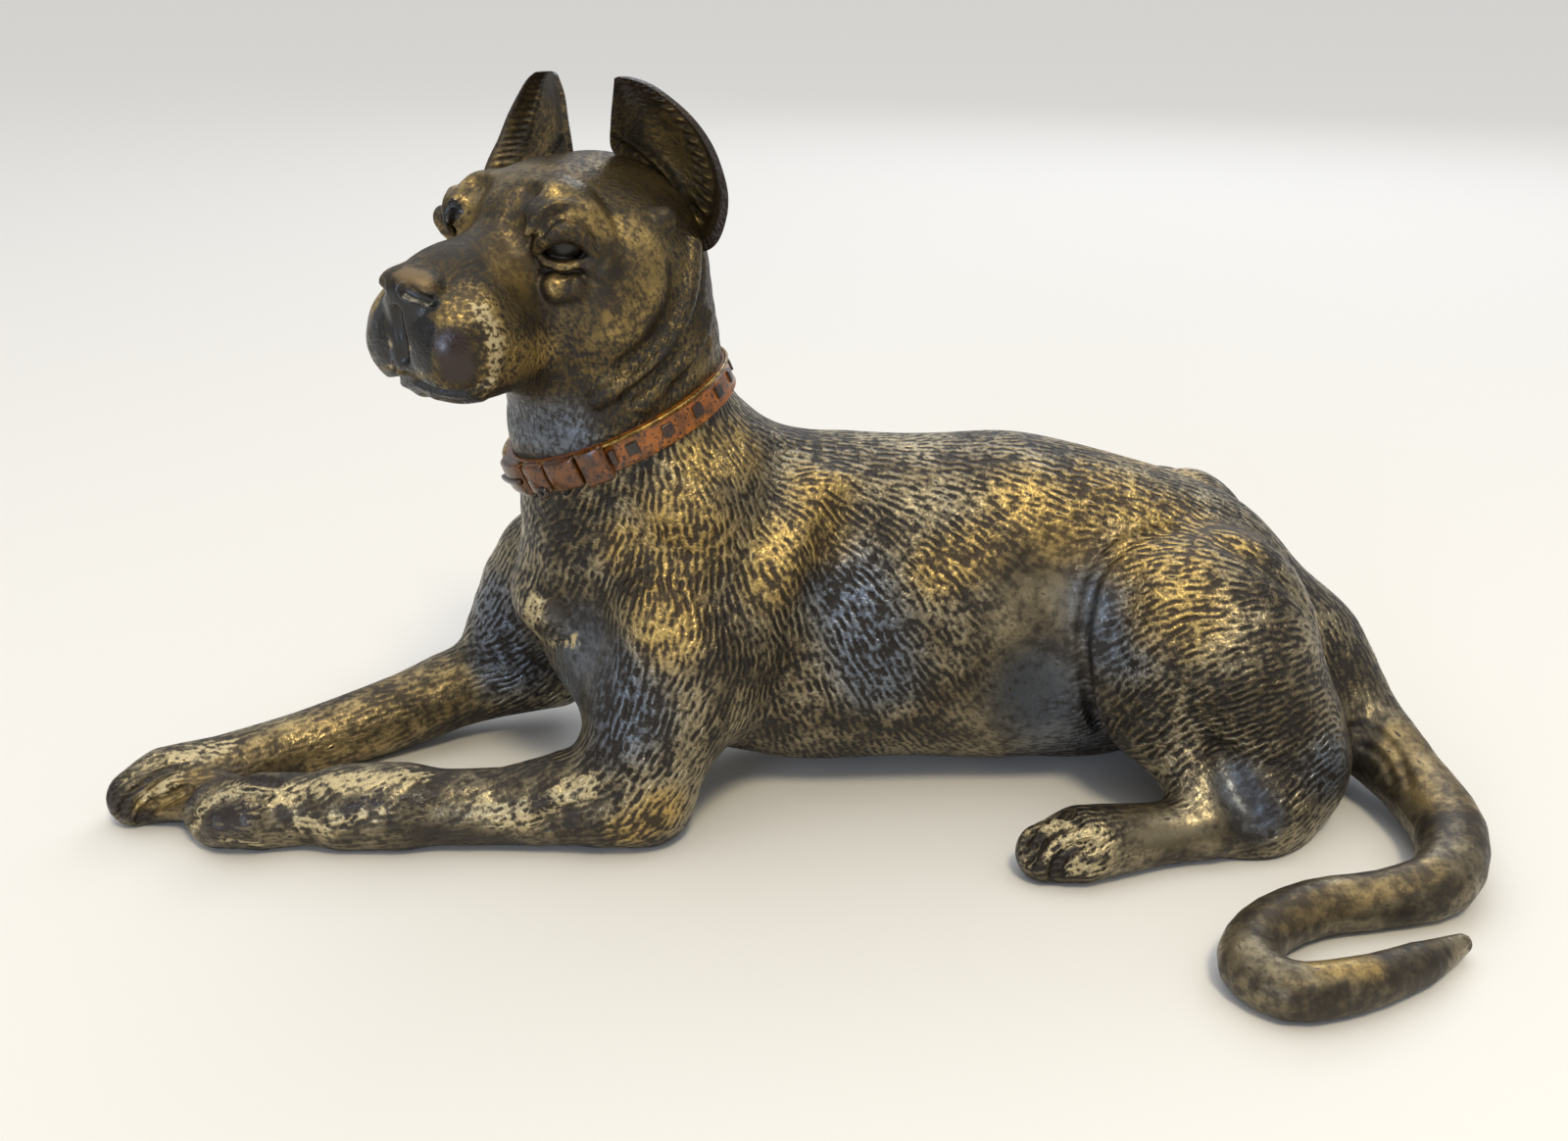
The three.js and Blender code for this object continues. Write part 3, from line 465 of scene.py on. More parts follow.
def seen(field, pixels, lift=0.0):
    rays = rays_through(pixels)
    points = eye_point + rays * 100.0
    for _ in range(160):
        points = points + rays * (0.7 * field(*points.T))[:, None]
    if not (np.linalg.norm(points, axis=1) < 300).all():
        print("a ray misses the clay:", pixels)
    return points + slope_of(field, points) * lift


print("the picture's middle meets the ribs at", seen(rough_body, [picture_middle])[0].round(1), "mm")

# %% [markdown]
# A form is then pressed on or cut in with a bead of clay that follows such places. Its width, how
# high its middle lies over the skin, and how softly it melts in are all in millimetres.

# %% Pressing on and cutting in
def worked(field, forms, mirror=None):
    result = field
    for way, width, lift, softness, pixels in forms:
        path = seen(field, pixels, lift)
        width = np.broadcast_to(width, len(path))
        for side in [path] if mirror is None else [path, mirror(field, path, lift)]:
            result = worked_bead(result, way, softness, side, width)
    return result


body_forms = [
    ("press", 6.4, -1.9, 1.6, [(548, 622), (556, 634)]),
    ("cut", 1.3, 0.2, 0.4, [(551, 641)]),
    ("press", 10.4, -4.5, 2.5, [(345, 808), (375, 806), (400, 808)]),
    ("cut", 3.0, 1.0, 2.0, [(640, 802), (606, 826), (560, 838)]),
    ("press", 6.8, -2.3, 0.5, [(224, 840), (248, 836)]),
    ("cut", 2.0, 0.15, 0.4, [(196, 849), (203, 833), (217, 819), (242, 812), (270, 812)]),
    ("cut", 2.0, 0.2, 0.5, [(190, 833), (199, 815), (217, 802), (246, 796), (280, 797)]),
    ("press", 4.2, -1.5, 0.5, [(140, 826), (158, 818), (178, 806)]),
    ("cut", 2.0, 0.15, 0.4, [(124, 834), (132, 815), (150, 797), (176, 783)]),
    ("cut", 2.0, 0.15, 0.4, [(144, 838), (152, 826), (170, 816), (190, 808)]),
    ("cut", 1.8, 0.2, 0.4, [(112, 814), (122, 797), (142, 782), (164, 772)]),
    ("cut", 1.3, 0.4, 0.8, [(1378, 742), (1402, 744), (1424, 766), (1438, 800)]),
    ("cut", 1.0, 0.3, 0.8, [(1392, 762), (1408, 770), (1420, 796)]),
]
hind_forms = [
    ("press", 11.0, -4.9, 2.0, [(1128, 604), (1120, 650), (1126, 700)]),
    ("cut", 2.0, 0.5, 0.7, [(1196, 538), (1150, 552), (1118, 588), (1105, 640), (1109, 700), (1126, 748)]),
    ("cut", 2.2, 0.8, 2.0, [(1250, 552), (1305, 590), (1338, 650), (1346, 715)]),
    ("press", 20.0, -7.6, 4.0, [(1290, 700), (1312, 750), (1312, 796)]),
    ("press", 7.0, -2.9, 2.0, [(1205, 790), (1240, 830)]),
    ("cut", 1.9, 0.15, 0.4, [(1044, 864), (1051, 847), (1067, 834), (1090, 829)]),
    ("cut", 1.9, 0.15, 0.4, [(1050, 878), (1060, 858), (1075, 845), (1098, 839)]),
    ("cut", 1.9, 0.15, 0.4, [(1076, 894), (1083, 878), (1095, 866), (1114, 862)]),
]

heel_forms = [
    ("cut", (1.6, 3.0, 3.8, 3.2, 2.0), 0.9, 2.2,
     [(1246, 766), (1253, 788), (1264, 810), (1278, 830), (1296, 846)]),
]


def far_hind_side(field, points, lift):
    mirrored = points.copy()
    mirrored[:, 1] = rump_middle + (rump_middle - points[:, 1]) * 0.88
    return settled(field, mirrored, lift)


body = worked(worked(rough_body, body_forms), hind_forms, far_hind_side)
body = worked(body, heel_forms, far_hind_side)
print("forms worked on the body:", len(body_forms) + len(hind_forms) + len(heel_forms))

# %% [markdown]
# ## The head
# The head has a frame of its own: ahead to the nose, left, and up. What is seen on the near side of
# the face is mirrored across its middle.

# %% Head frame and base
head_turn = math.radians(55.0)
head_at = place((-0.25, 0.06, 1.46))
forward = np.array([-math.cos(head_turn), -math.sin(head_turn), 0.0])
leftward = np.array([math.sin(head_turn), -math.cos(head_turn), 0.0])
head_span = np.array([head_length, head_width, head_height])


def in_head(field):
    def turned(x, y, z):
        p, q = x - head_at[0], y - head_at[1]
        return field(p * forward[0] + q * forward[1], p * leftward[0] + q * leftward[1], z - head_at[2])
    return turned


def across_head(points):
    return points - 2 * ((points - head_at) @ leftward)[:, None] * leftward


def other_cheek(field, points, lift):
    return across_head(points)


def head_ball(at, half):
    return ball(np.array(at) * head_span, np.array(half) * head_span)


def pair(at, half):
    return [head_ball(at, half), head_ball((at[0], -at[1], at[2]), half)]


face = blend(4.5, [
    head_ball((-0.04, 0, 0.04), (0.28, 0.44, 0.44)),
    head_ball((0.14, 0, 0.15), (0.17, 0.37, 0.29)),
    head_ball((0.1, 0, -0.34), (0.26, 0.32, 0.26)),
    *pair((0.04, 0.27, -0.14), (0.17, 0.24, 0.34)),
    *pair((0.07, 0.36, -0.12), (0.13, 0.24, 0.25)),
    blend(3.0, [
        head_ball((0.36, 0, -0.07), (0.2, 0.24, 0.21)),
        *pair((0.415, 0.155, -0.24), (0.145, 0.18, 0.25)),
        head_ball((0.38, 0, -0.38), (0.17, 0.2, 0.13)),
        head_ball((0.45, 0, -0.12), (0.12, 0.16, 0.26)),
    ]),
])
face = blend(3.0, [face, *pair((0.21, 0.28, 0.2), (0.08, 0.11, 0.1))])
face = carve(face, blend(3.0, pair((0.3, 0.38, 0.1), (0.06, 0.1, 0.12))), 3.0)
bridge = limb([(15.0, 0, 1.9, 6.5), (20.5, 0, 1.2, 6.2), (25.5, 0, 0.3, 5.0)])
face = blend(2.0, [face, bridge])
rough_head = blend(4.5, [neck, in_head(face)])
print("head turned by", round(math.degrees(head_turn)), "degrees at", head_at, "mm")

# %% [markdown]
# The eye is a socket, an eyeball, and lids and folds laid round them. The nose is a firm pad on the
# end of the bridge, with comma-shaped nostrils. The flews hang over the mouth line.

# %% Features of the face
head_forms = [
    ("press", 5.2, -1.3, 1.8, [(540, 216), (549, 204), (564, 197), (582, 202), (596, 216)]),
    ("cut", 3.4, 1.1, 1.4, [(531, 240), (524, 226), (528, 209), (538, 197)]),
    ("cut", (3.0, 4.6, 5.0, 4.2, 2.6), 0.9, 0.6,
     [(553, 253), (562, 250), (574, 249), (586, 253), (595, 259)]),
    ("press", 5.6, -2.1, 0.15, [(574, 252)]),
    ("press", (0.9, 1.9, 2.4, 2.5, 2.4, 1.9, 1.0), 0.5, 0.3,
     [(546, 255), (553, 244), (563, 237), (577, 235), (591, 240), (601, 252), (608, 264)]),
    ("cut", 0.8, 1.0, 0.3, [(553, 236), (569, 224), (584, 226), (597, 238), (606, 252)]),
    ("press", (0.9, 1.3, 1.6, 1.6, 1.4, 0.9), 0.5, 0.5,
     [(540, 238), (551, 221), (567, 213), (586, 217), (601, 232), (612, 256)]),
    ("press", (0.8, 1.5, 1.7, 1.5, 0.8), 0.4, 0.35,
     [(549, 259), (558, 267), (574, 272), (590, 270), (603, 264)]),
    ("cut", 1.2, 0.4, 0.5, [(556, 277), (575, 282), (592, 279)]),
    ("press", 2.8, -0.5, 1.0, [(604, 214), (614, 234), (620, 256), (618, 276)]),
    ("press", 3.6, -0.1, 0.5, [(567, 294)]),
    ("press", 3.2, -0.3, 0.6, [(586, 293)]),
    ("press", 2.0, -0.1, 0.5, [(603, 273)]),
    ("press", 2.6, -0.3, 0.8,
     [(708, 250), (705, 290), (695, 325), (677, 355), (655, 377), (632, 395), (610, 406)]),
    ("cut", 2.4, 0.6, 1.2, [(690, 268), (690, 300), (679, 330), (662, 354), (640, 372)]),
    ("cut", 2.0, 0.5, 0.8,
     [(716, 262), (714, 300), (704, 335), (687, 363), (664, 388), (642, 406)]),
    ("press", 2.2, -0.5, 0.9, [(722, 322), (716, 348), (700, 372), (678, 392), (656, 412)]),
    ("cut", 1.6, 0.4, 0.8, [(722, 350), (708, 376), (688, 396)]),
    ("press", 9.0, -3.5, 2.4, [(462, 362), (476, 340)]),
    ("cut", 1.5, 0.4, 0.35, [(418, 384), (436, 393), (460, 398), (480, 397), (496, 388)]),
    ("press", 2.6, -0.9, 0.7, [(446, 404), (468, 408), (490, 406)]),
    ("press", 3.6, -0.4, 0.6, [(678, 222)]),
]
nose = in_head(blend(1.0, [
    head_ball((0.535, 0, 0.03), (0.06, 0.165, 0.09)),
    head_ball((0.545, 0, -0.04), (0.045, 0.12, 0.12)),
]))
middle_forms = [("cut", 1.5, 0.2, 0.4, [(404, 318), (407, 334), (411, 352), (412, 366)])]
nostril_forms = [("cut", (1.9, 1.5, 0.8), 0.1, 0.4, [(414, 297), (426, 303), (440, 308)])]
head = worked(rough_head, head_forms, other_cheek)
head = worked(blend(0.6, [head, nose]), middle_forms)
head = worked(head, nostril_forms, other_cheek)
print("forms worked on the head:", len(head_forms) + len(middle_forms) + len(nostril_forms))

# %% [markdown]
# ## From clay to castings
# A field becomes a mesh in two steps. The space is cut in small blocks, and only the blocks near
# the surface are filled with values. Then the volume library draws a skin through the points where
# the value is zero.


# %% From field to mesh
BLOCK = 12
far_value = 3.0


def skin_of(field, low, high, cell):
    low = np.floor(np.array(low) / cell) * cell - 2 * cell
    counts = np.ceil((np.array(high) - low) / (cell * BLOCK)).astype(int) + 1
    values = np.full(counts * BLOCK, far_value, np.float32)
    half = cell * BLOCK / 2
    grid = np.stack(np.meshgrid(*[np.arange(n) for n in counts], indexing="ij"), -1).reshape(-1, 3)
    middle = low + (grid + 0.5) * cell * BLOCK - cell / 2
    away = field(*middle.T)
    steps = np.stack(np.meshgrid(*[np.arange(BLOCK)] * 3, indexing="ij"), -1).reshape(-1, 3)
    near = np.abs(away) < half * 1.75 * 1.3 + 1.0
    for block, value in zip(grid[~near], away[~near]):
        i, j, k = block * BLOCK
        values[i:i + BLOCK, j:j + BLOCK, k:k + BLOCK] = far_value if value > 0 else -far_value
    chosen = grid[near]
    for start in range(0, len(chosen), 8):
        part = chosen[start:start + 8]
        points = low + (part[:, None, :] * BLOCK + steps[None]) * cell
        found = field(*points.reshape(-1, 3).T).reshape(len(part), BLOCK, BLOCK, BLOCK)
        for (i, j, k), cube in zip(part * BLOCK, found):
            values[i:i + BLOCK, j:j + BLOCK, k:k + BLOCK] = cube
    volume = openvdb.FloatGrid(far_value)
    volume.copyFromArray(np.clip(values, -far_value, far_value))
    points, quads = volume.convertToQuads(isovalue=0.0)
    points, quads = low + points * cell, np.array(quads, np.int64)
    a, b, c = (points[quads[:, n]] for n in (0, 1, 2))
    outward = (np.cross(b - a, c - a) * slope_of(field, (a + c) / 2)).sum() > 0
    return points, quads if outward else quads[:, ::-1]


def in_frame(points):
    placed = points + shift
    return np.clip(placed, low_mm + [0.02, 0.02, 0.0], high_mm - 0.02) * MM


print("a block is", BLOCK, "cells wide, and values stop at", far_value, "mm from the skin")


# %% [markdown]
# The castings meet where a limb and the trunk are equally near, as in the solids. The skin is drawn
# as one, so that nothing steps at a seam, then its faces are dealt out to the castings, and each
# casting is closed with a face from its open rim to a point inside.

# %% Dealing the skin out to the castings
collar_normal = np.array([-0.38, -0.06, 0.92])
collar_normal /= np.linalg.norm(collar_normal)
seams = {
    "left_foreleg": (left_foreleg, right_foreleg, (-0.145, -0.08, 0.44), (0.1, 0.5, 0.86),
                     (-0.82, -0.46, -0.1), (0.06, 0.1, 0.64)),
    "right_foreleg": (right_foreleg, left_foreleg, (-0.28, 0.44, 0.5), (0.55, -0.1, 0.8),
                      (-0.95, -0.3, -0.1), (-0.1, 0.75, 0.74)),
    "left_hind_leg": (left_hind_leg, tail, (0.55, -0.02, 0.42), (0, 1, 0),
                      (0.24, -0.58, -0.1), (0.8, 0.2, 0.9)),
    "right_hind_leg": (right_hind_leg, tail, (0.55, 0.58, 0.42), (0, -1, 0),
                       (0.24, 0.4, -0.1), (0.8, 1.1, 0.9)),
    "tail_casting": (tail, left_hind_leg, (0.79, 0.06, 0.17), (-0.2, 1, 0.3),
                     (0.42, -1.1, -0.1), (0.96, 0.2, 0.44)),
}


def owners(middles):
    owner = np.zeros(len(middles), int)
    for number, (field, other, at, normal, low, high) in enumerate(seams.values(), 1):
        boxed = np.flatnonzero(((middles > place(low)) & (middles < place(high))).all(1))
        points = middles[boxed]
        own = field(*points.T)
        mine = (points - place(at)) @ np.array(normal) < 0
        mine &= (own < trunk(*points.T)) & (own < other(*points.T))
        owner[boxed[mine]] = number
    return owner


def rim_groups(edges, count):
    group = np.arange(count)
    while True:
        least = np.minimum(group[edges[:, 0]], group[edges[:, 1]])
        moved = group.copy()
        np.minimum.at(moved, edges[:, 0], least)
        np.minimum.at(moved, edges[:, 1], least)
        if (moved == group).all():
            return group
        group = moved


def closed_shell(points, quads):
    used, local = np.unique(quads, return_inverse=True)
    points, quads = points[used], local.reshape(-1, 4)
    edges = np.concatenate([quads[:, [k, (k + 1) % 4]] for k in range(4)])
    code, back = edges @ [len(points), 1], edges @ [1, len(points)]
    rim = edges[~np.isin(code, back)]
    faces = [tuple(quad) for quad in quads.tolist()]
    group = rim_groups(rim, len(points))
    for number in np.unique(group[rim[:, 0]]):
        own = rim[group[rim[:, 0]] == number]
        middle = points[np.unique(own)].mean(0)
        faces += [(int(b), int(a), len(points)) for a, b in own]
        points = np.vstack([points, middle])
    return used, points, faces


def object_from(name, points, faces):
    mesh = bpy.data.meshes.new(name)
    mesh.from_pydata(points.tolist(), [], faces)
    thing = bpy.data.objects.new(name, mesh)
    bpy.context.scene.collection.objects.link(thing)
    return thing


print("limbs that the trunk is parted from:", list(seams))


# %% [markdown]
# ## Hair and wear
# The hair was chased in with a punch, in rows that follow the lie of the coat. Its direction is
# given at a few places, by two picture points each, and every point of the skin takes a mean of the
# nearest ones. The tail's hair follows the tail.

# %% The lie of the coat
body_hair = [
    (560, 540, -12, 22), (600, 520, -6, 26), (590, 600, -6, 26), (600, 690, -4, 24), (548, 600, -8, 24),
    (660, 520, 2, 26), (700, 600, 2, 26), (640, 640, 0, 26), (760, 520, 14, 22), (740, 460, 14, 18),
    (660, 720, -4, 26), (690, 780, -10, 20), (560, 816, -20, 12), (460, 815, -20, 11), (360, 820, -20, 9),
    (280, 822, -20, 4), (430, 735, -18, 10), (320, 768, -18, 9), (200, 800, -18, 8),
    (880, 560, 18, 13), (940, 620, 18, 15), (880, 680, 16, 18), (980, 560, 18, 15), (1000, 660, 16, 14),
    (850, 740, 16, 16), (800, 620, 14, 18), (850, 452, 26, 5), (950, 460, 26, 6), (1050, 475, 26, 10),
    (1150, 505, 24, 12), (1250, 548, 20, 16), (780, 452, 20, 12), (1150, 585, 25, -5), (1230, 600, 26, 4),
    (1180, 660, 26, -8), (1160, 735, 20, -14), (1250, 700, 25, -9), (1290, 640, 26, 0),
    (1310, 700, 25, -8), (1290, 770, 22, -9), (1320, 800, 20, -10),
    (1200, 845, 25, -2), (1110, 860, 20, -6), (1372, 660, 12, 26), (1300, 570, 18, 18), (1400, 740, 14, 24),
]
head_hair = [
    (470, 255, 22, -10), (500, 235, 22, -10), (560, 180, 26, -7), (600, 165, 26, 2), (640, 300, 14, 20),
    (640, 240, 18, 14), (560, 300, 24, 8), (480, 310, 24, 0), (500, 360, 22, 8), (640, 390, 6, 24),
    (560, 440, 2, 22), (690, 345, -8, 24), (724, 300, 2, 26), (610, 340, 20, 16), (450, 340, 20, 12),
    (590, 420, 0, 22), (680, 410, -4, 22),
]


def guides(field, rows, mirror):
    start = seen(field, [(x, y) for x, y, right, down in rows])
    end = seen(field, [(x + right, y + down) for x, y, right, down in rows])
    ways = end - start
    far_start, far_end = mirror(start), mirror(end)
    places = np.vstack([start, far_start])
    ways = np.vstack([ways, far_end - far_start])
    return places, ways / np.linalg.norm(ways, axis=1, keepdims=True)


def across_ribs(points):
    return points * [1, -1, 1] + [0, 2 * ribs_share * stance_width, 0]


tail_path = np.array([place(row) for row in tail_rows])
tail_ways = np.gradient(tail_path, axis=0)
tail_ways /= np.linalg.norm(tail_ways, axis=1, keepdims=True)
body_places, body_ways = guides(body, body_hair, across_ribs)
body_guides = np.vstack([body_places, tail_path[1:]]), np.vstack([body_ways, tail_ways[1:]])
head_guides = guides(head, head_hair, across_head)
print("guides of the coat:", len(body_guides[0]), "on the body,", len(head_guides[0]), "on the head")


def hair_across(points, normals, lie):
    places, ways = lie
    total = np.zeros_like(points)
    for spot, way in zip(places, ways):
        gap = ((points - spot) ** 2).sum(1) + 9.0
        total += way / gap[:, None] ** 2
    across = np.cross(normals, total)
    return across / np.maximum(np.linalg.norm(across, axis=1, keepdims=True), 1e-9)


# %% [markdown]
# The patina is worn and stained in places, and some marks are painted light: gold and warm are painted
# highlights, partly on rubbed metal, and cool is a painted reflection of the cool window. Under the name of
# each kind stand its marks: a reach in millimetres, and the picture points that the mark follows. Most marks
# are mirrored to the far side.

# %% Places of rubbing, stain and painted light
# gold and warm are painted highlights, laid partly on rubbed metal; cool is a painted reflection of the cool
# window; the other kinds are the figure's own colours and finish
kinds = {
    "gold": ("wear_and_highlight", 0), "warm": ("wear_and_highlight", 0), "cream": ("wear_and_highlight", 1), "brown": ("wear_and_highlight", 2),
    "cool": ("reflection_smoothness_hollow", 0), "smooth": ("reflection_smoothness_hollow", 1), "sleek": ("reflection_smoothness_hollow", 1),
    "black": ("enamel", 0), "copper": ("enamel", 1), "chestnut": ("enamel", 2),
}
body_marks = {
    # Painted highlights: gold where the warm lamp glints on shoulder, loin and haunch tops, partly on rubbed
    # metal
    "gold": [
        (9.0, [(696, 531), (700, 560)]), (6.0, [(714, 473), (760, 455)]),
        (8.0, [(677, 614), (684, 640)]), (7.0, [(838, 500), (836, 550)]),
        (7.0, [(800, 559), (790, 590)]), (9.0, [(1050, 515), (1095, 540)]),
        (8.0, [(1120, 496), (1180, 520), (1260, 545)]), (10.0, [(1200, 620)]),
        (8.0, [(1160, 568), (1200, 570)]), (5.0, [(674, 828), (640, 850)]), (6.0, [(640, 560)]),
        (6.0, [(960, 580), (1000, 560)]), (3.0, [(1350, 985), (1400, 985)]),
        (4.0, [(150, 818), (180, 812), (210, 795)]),
    ],
    # Painted highlights, softer: warm along the forearm top and the tail
    "warm": [
        (7.0, [(250, 790), (300, 770), (380, 735), (450, 700)]), (6.0, [(1440, 760), (1480, 810)]),
        (3.0, [(1300, 935), (1380, 912), (1460, 885)]),
    ],
    # Painted reflection: blue grey where the cool window shows in the metal of chest, ribs and flank
    "cool": [
        (9.0, [(625, 694), (632, 730)]), (9.0, [(862, 600), (880, 640), (896, 690)]),
        (9.0, [(1130, 590), (1138, 650)]), (10.0, [(1060, 700), (1090, 755)]),
        (5.0, [(1262, 800), (1284, 832)]), (7.0, [(600, 650), (584, 710)]), (7.0, [(1360, 780)]),
        (8.0, [(500, 620), (520, 680)]),
    ],
    "smooth": [
        (12.0, [(1070, 610), (1060, 680), (1040, 730)]), (8.0, [(1180, 846), (1240, 848), (1260, 830)]),
        (8.0, [(604, 650), (592, 710)]), (5.0, [(1264, 800), (1284, 832)]),
        (3.0, [(228, 838), (250, 834)]), (3.0, [(570, 625)]),
        (14.0, [(1430, 760), (1470, 810), (1500, 860), (1450, 900)]),
        (12.0, [(1400, 920), (1300, 935), (1265, 980), (1300, 1010), (1380, 1000), (1470, 970)]),
    ],
    "sleek": [
        (9.0, [(160, 810), (250, 780), (350, 745), (450, 700)]),
        (9.0, [(220, 830), (330, 822), (430, 820), (560, 830)]),
    ],
    "cream": [
        (2.6, [(545, 612), (538, 630), (546, 645)]), (1.6, [(560, 655), (585, 652)]),
        (3.0, [(280, 812), (330, 800), (380, 796), (430, 792)]), (2.0, [(340, 838), (390, 828)]),
        (2.4, [(300, 838), (330, 845)]), (3.2, [(490, 820), (520, 835), (560, 818), (600, 802)]),
        (3.0, [(170, 775), (200, 768), (230, 760)]), (2.4, [(240, 800), (270, 806), (296, 815)]),
        (2.0, [(152, 812), (170, 800)]), (3.4, [(1128, 862), (1105, 850), (1096, 866)]),
        (2.4, [(1092, 886), (1120, 888)]), (1.8, [(1048, 850)]),
        (1.2, [(200, 842), (207, 826), (222, 814), (244, 810), (266, 822)]),
        (1.6, [(206, 806), (224, 797), (246, 794)]), (1.4, [(226, 856), (262, 861)]),
        (1.3, [(118, 808), (134, 794), (156, 781)]), (1.3, [(142, 812), (160, 802), (184, 790)]),
        (2.6, [(1056, 850), (1080, 838)]), (2.2, [(1066, 872), (1088, 858)]),
    ],
    "brown": [
        (2.6, [(572, 622)]), (4.2, [(214, 838), (240, 832)]), (1.5, [(287, 829), (292, 835)]),
        (1.7, [(194, 814), (208, 802), (227, 796), (256, 795), (285, 801)]),
        (3.2, [(430, 850), (470, 856), (520, 860)]), (1.5, [(580, 826), (586, 832)]),
        (1.7, [(354, 826), (364, 818)]), (1.6, [(380, 820), (388, 814)]),
        (1.8, [(546, 824), (556, 818)]), (2.0, [(420, 815), (440, 808)]),
        (2.8, [(113, 806), (122, 822)]), (1.5, [(146, 834), (176, 838)]),
        (0.9, [(126, 832), (132, 815), (150, 797), (176, 783)]),
        (1.0, [(1051, 862), (1056, 848), (1070, 837)]), (1.0, [(1060, 876), (1068, 860), (1084, 849)]),
        (1.2, [(1080, 886), (1086, 876), (1098, 868)]),
    ],
}
head_marks = {
    # Painted highlights: gold glints on brow, lid, flews and cheek, partly on rubbed metal
    "gold": [
        (2.6, [(566, 197)]), (1.6, [(583, 221)]), (3.0, [(600, 224), (630, 232)]),
        (3.0, [(448, 318), (462, 318), (474, 311)]),
        (3.0, [(483, 300), (497, 316), (506, 345), (505, 375), (496, 388)]),
        (4.0, [(524, 372), (550, 360)]), (2.0, [(566, 290)]), (1.8, [(570, 275), (584, 273)]),
        (5.0, [(524, 270), (532, 250)]),
    ],
    "cream": [
        (2.4, [(490, 316), (502, 336), (507, 362), (497, 390)]),
        (0.8, [(404, 330), (409, 345), (418, 355)]), (0.9, [(386, 350), (396, 372)]),
    ],
    # Painted highlights, softer: warm on the side of the head
    "warm": [(4.0, [(640, 240), (660, 270)]), (4.0, [(640, 330), (650, 300)])],
    "black": [
        (1.8, [(402, 304), (420, 309), (434, 313)]), (2.2, [(398, 322), (410, 345), (414, 364)]),
        (1.6, [(400, 384), (430, 398), (470, 406), (508, 404)]), (2.6, [(386, 326), (388, 360)]),
        (1.3, [(568, 256), (580, 258)]),
    ],
    # Painted reflection: blue grey of the cool window on the philtrum and the throat
    "cool": [(1.4, [(396, 352), (402, 366), (418, 372)]), (6.0, [(548, 436), (575, 440)])],
    "chestnut": [(3.0, [(460, 352), (466, 376)])],
    "sleek": [
        (8.0, [(548, 436), (565, 440)]), (5.0, [(440, 260), (480, 245), (520, 235)]),
        (9.0, [(540, 190), (590, 180), (630, 200)]), (7.0, [(625, 232), (632, 270), (628, 310)]),
        (3.0, [(450, 316), (474, 311)]),
    ],
    "smooth": [
        (3.0, [(412, 276), (420, 300)]), (3.4, [(452, 352), (470, 376)]),
        (2.6, [(566, 255), (582, 257)]), (3.6, [(400, 320), (412, 350)]),
        (6.0, [(505, 262), (540, 290)]),
    ],
}
near_head_marks = {
    "copper": [(2.4, [(414, 278), (432, 285)])],
    # The first black mark is the nostril's black; the second is painted shade on the far brow's edge
    "black": [(2.0, [(406, 299), (424, 304), (440, 309)]), (1.6, [(455, 224), (464, 212)])],
}


def marks_on(field, marks, mirror):
    rows = [(kind, reach, pixels) for kind, marks in marks.items() for reach, pixels in marks]
    found = seen(field, [pixel for kind, reach, pixels in rows for pixel in pixels])
    placed = []
    for kind, reach, pixels in rows:
        path, found = found[:len(pixels)], found[len(pixels):]
        path = smooth_path(path, 8) if len(path) > 1 else path
        placed.append((kind, reach, np.vstack([path, mirror(path)]) if mirror else path))
    return placed


body_spots = marks_on(body, body_marks, across_ribs)
head_spots = marks_on(head, head_marks, across_head) + marks_on(head, near_head_marks, None)


def vectors(mesh, name, values):
    layer = mesh.attributes.new(name, "FLOAT_VECTOR", "POINT")
    layer.data.foreach_set("vector", np.asarray(values, np.float32).ravel())


def dress(thing, points, normals, hollow_and_shade, lie, spots):
    channels = {name: np.zeros((len(points), 3)) for name in ("wear_and_highlight", "reflection_smoothness_hollow", "enamel")}
    channels["reflection_smoothness_hollow"][:, 2] = hollow_and_shade
    for kind, reach, path in spots:
        name, axis = kinds[kind]
        boxed = ((points > path.min(0) - reach) & (points < path.max(0) + reach)).all(1)
        chosen = np.flatnonzero(boxed)
        if len(chosen) == 0:
            continue
        gap = np.full(len(chosen), 1e6)
        for spot in path:
            gap = np.minimum(gap, np.linalg.norm(points[chosen] - spot, axis=1))
        amount = np.clip(1.3 * (1 - gap / reach), 0, 0.55 if kind in ("sleek", "warm") else 1)
        channels[name][chosen, axis] = np.maximum(channels[name][chosen, axis], amount)
    vectors(thing.data, "across", hair_across(points, normals, lie))
    for name, values in channels.items():
        vectors(thing.data, name, values)


def hollow_of(field, points, normals):
    total = np.zeros(len(points))
    for reach in (1.2, 4.0):
        total += np.clip(1 - field(*(points + normals * reach).T) / reach, 0, 1) / 2
    return total


print("marks:", len(body_spots), "on the body and", len(head_spots), "on the head")


# %% [markdown]
# Now the skins are drawn and dealt out. The neck is parted at the middle of the collar.

# %% The castings
def make_casting(name, field, points, quads, lie, spots):
    used, shell_points, faces = closed_shell(points, quads)
    thing = object_from(name + "_skin", in_frame(shell_points), faces)
    thing.data.polygons.foreach_set("use_smooth", [True] * len(faces))
    normals = slope_of(field, shell_points)
    dress(thing, shell_points, normals, hollow_of(field, shell_points, normals), lie, spots)
    thing.data.normals_split_custom_set_from_vertices(normals.tolist())
    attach(thing, "root")
    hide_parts(name)
    print(name, len(faces), "faces")
    return thing


collar_at = place(collar_share)


def over_collar(x, y, z):
    return np.stack([x - collar_at[0], y - collar_at[1], z - collar_at[2]], -1) @ collar_normal


def under_collar(x, y, z):
    return -over_collar(x, y, z)


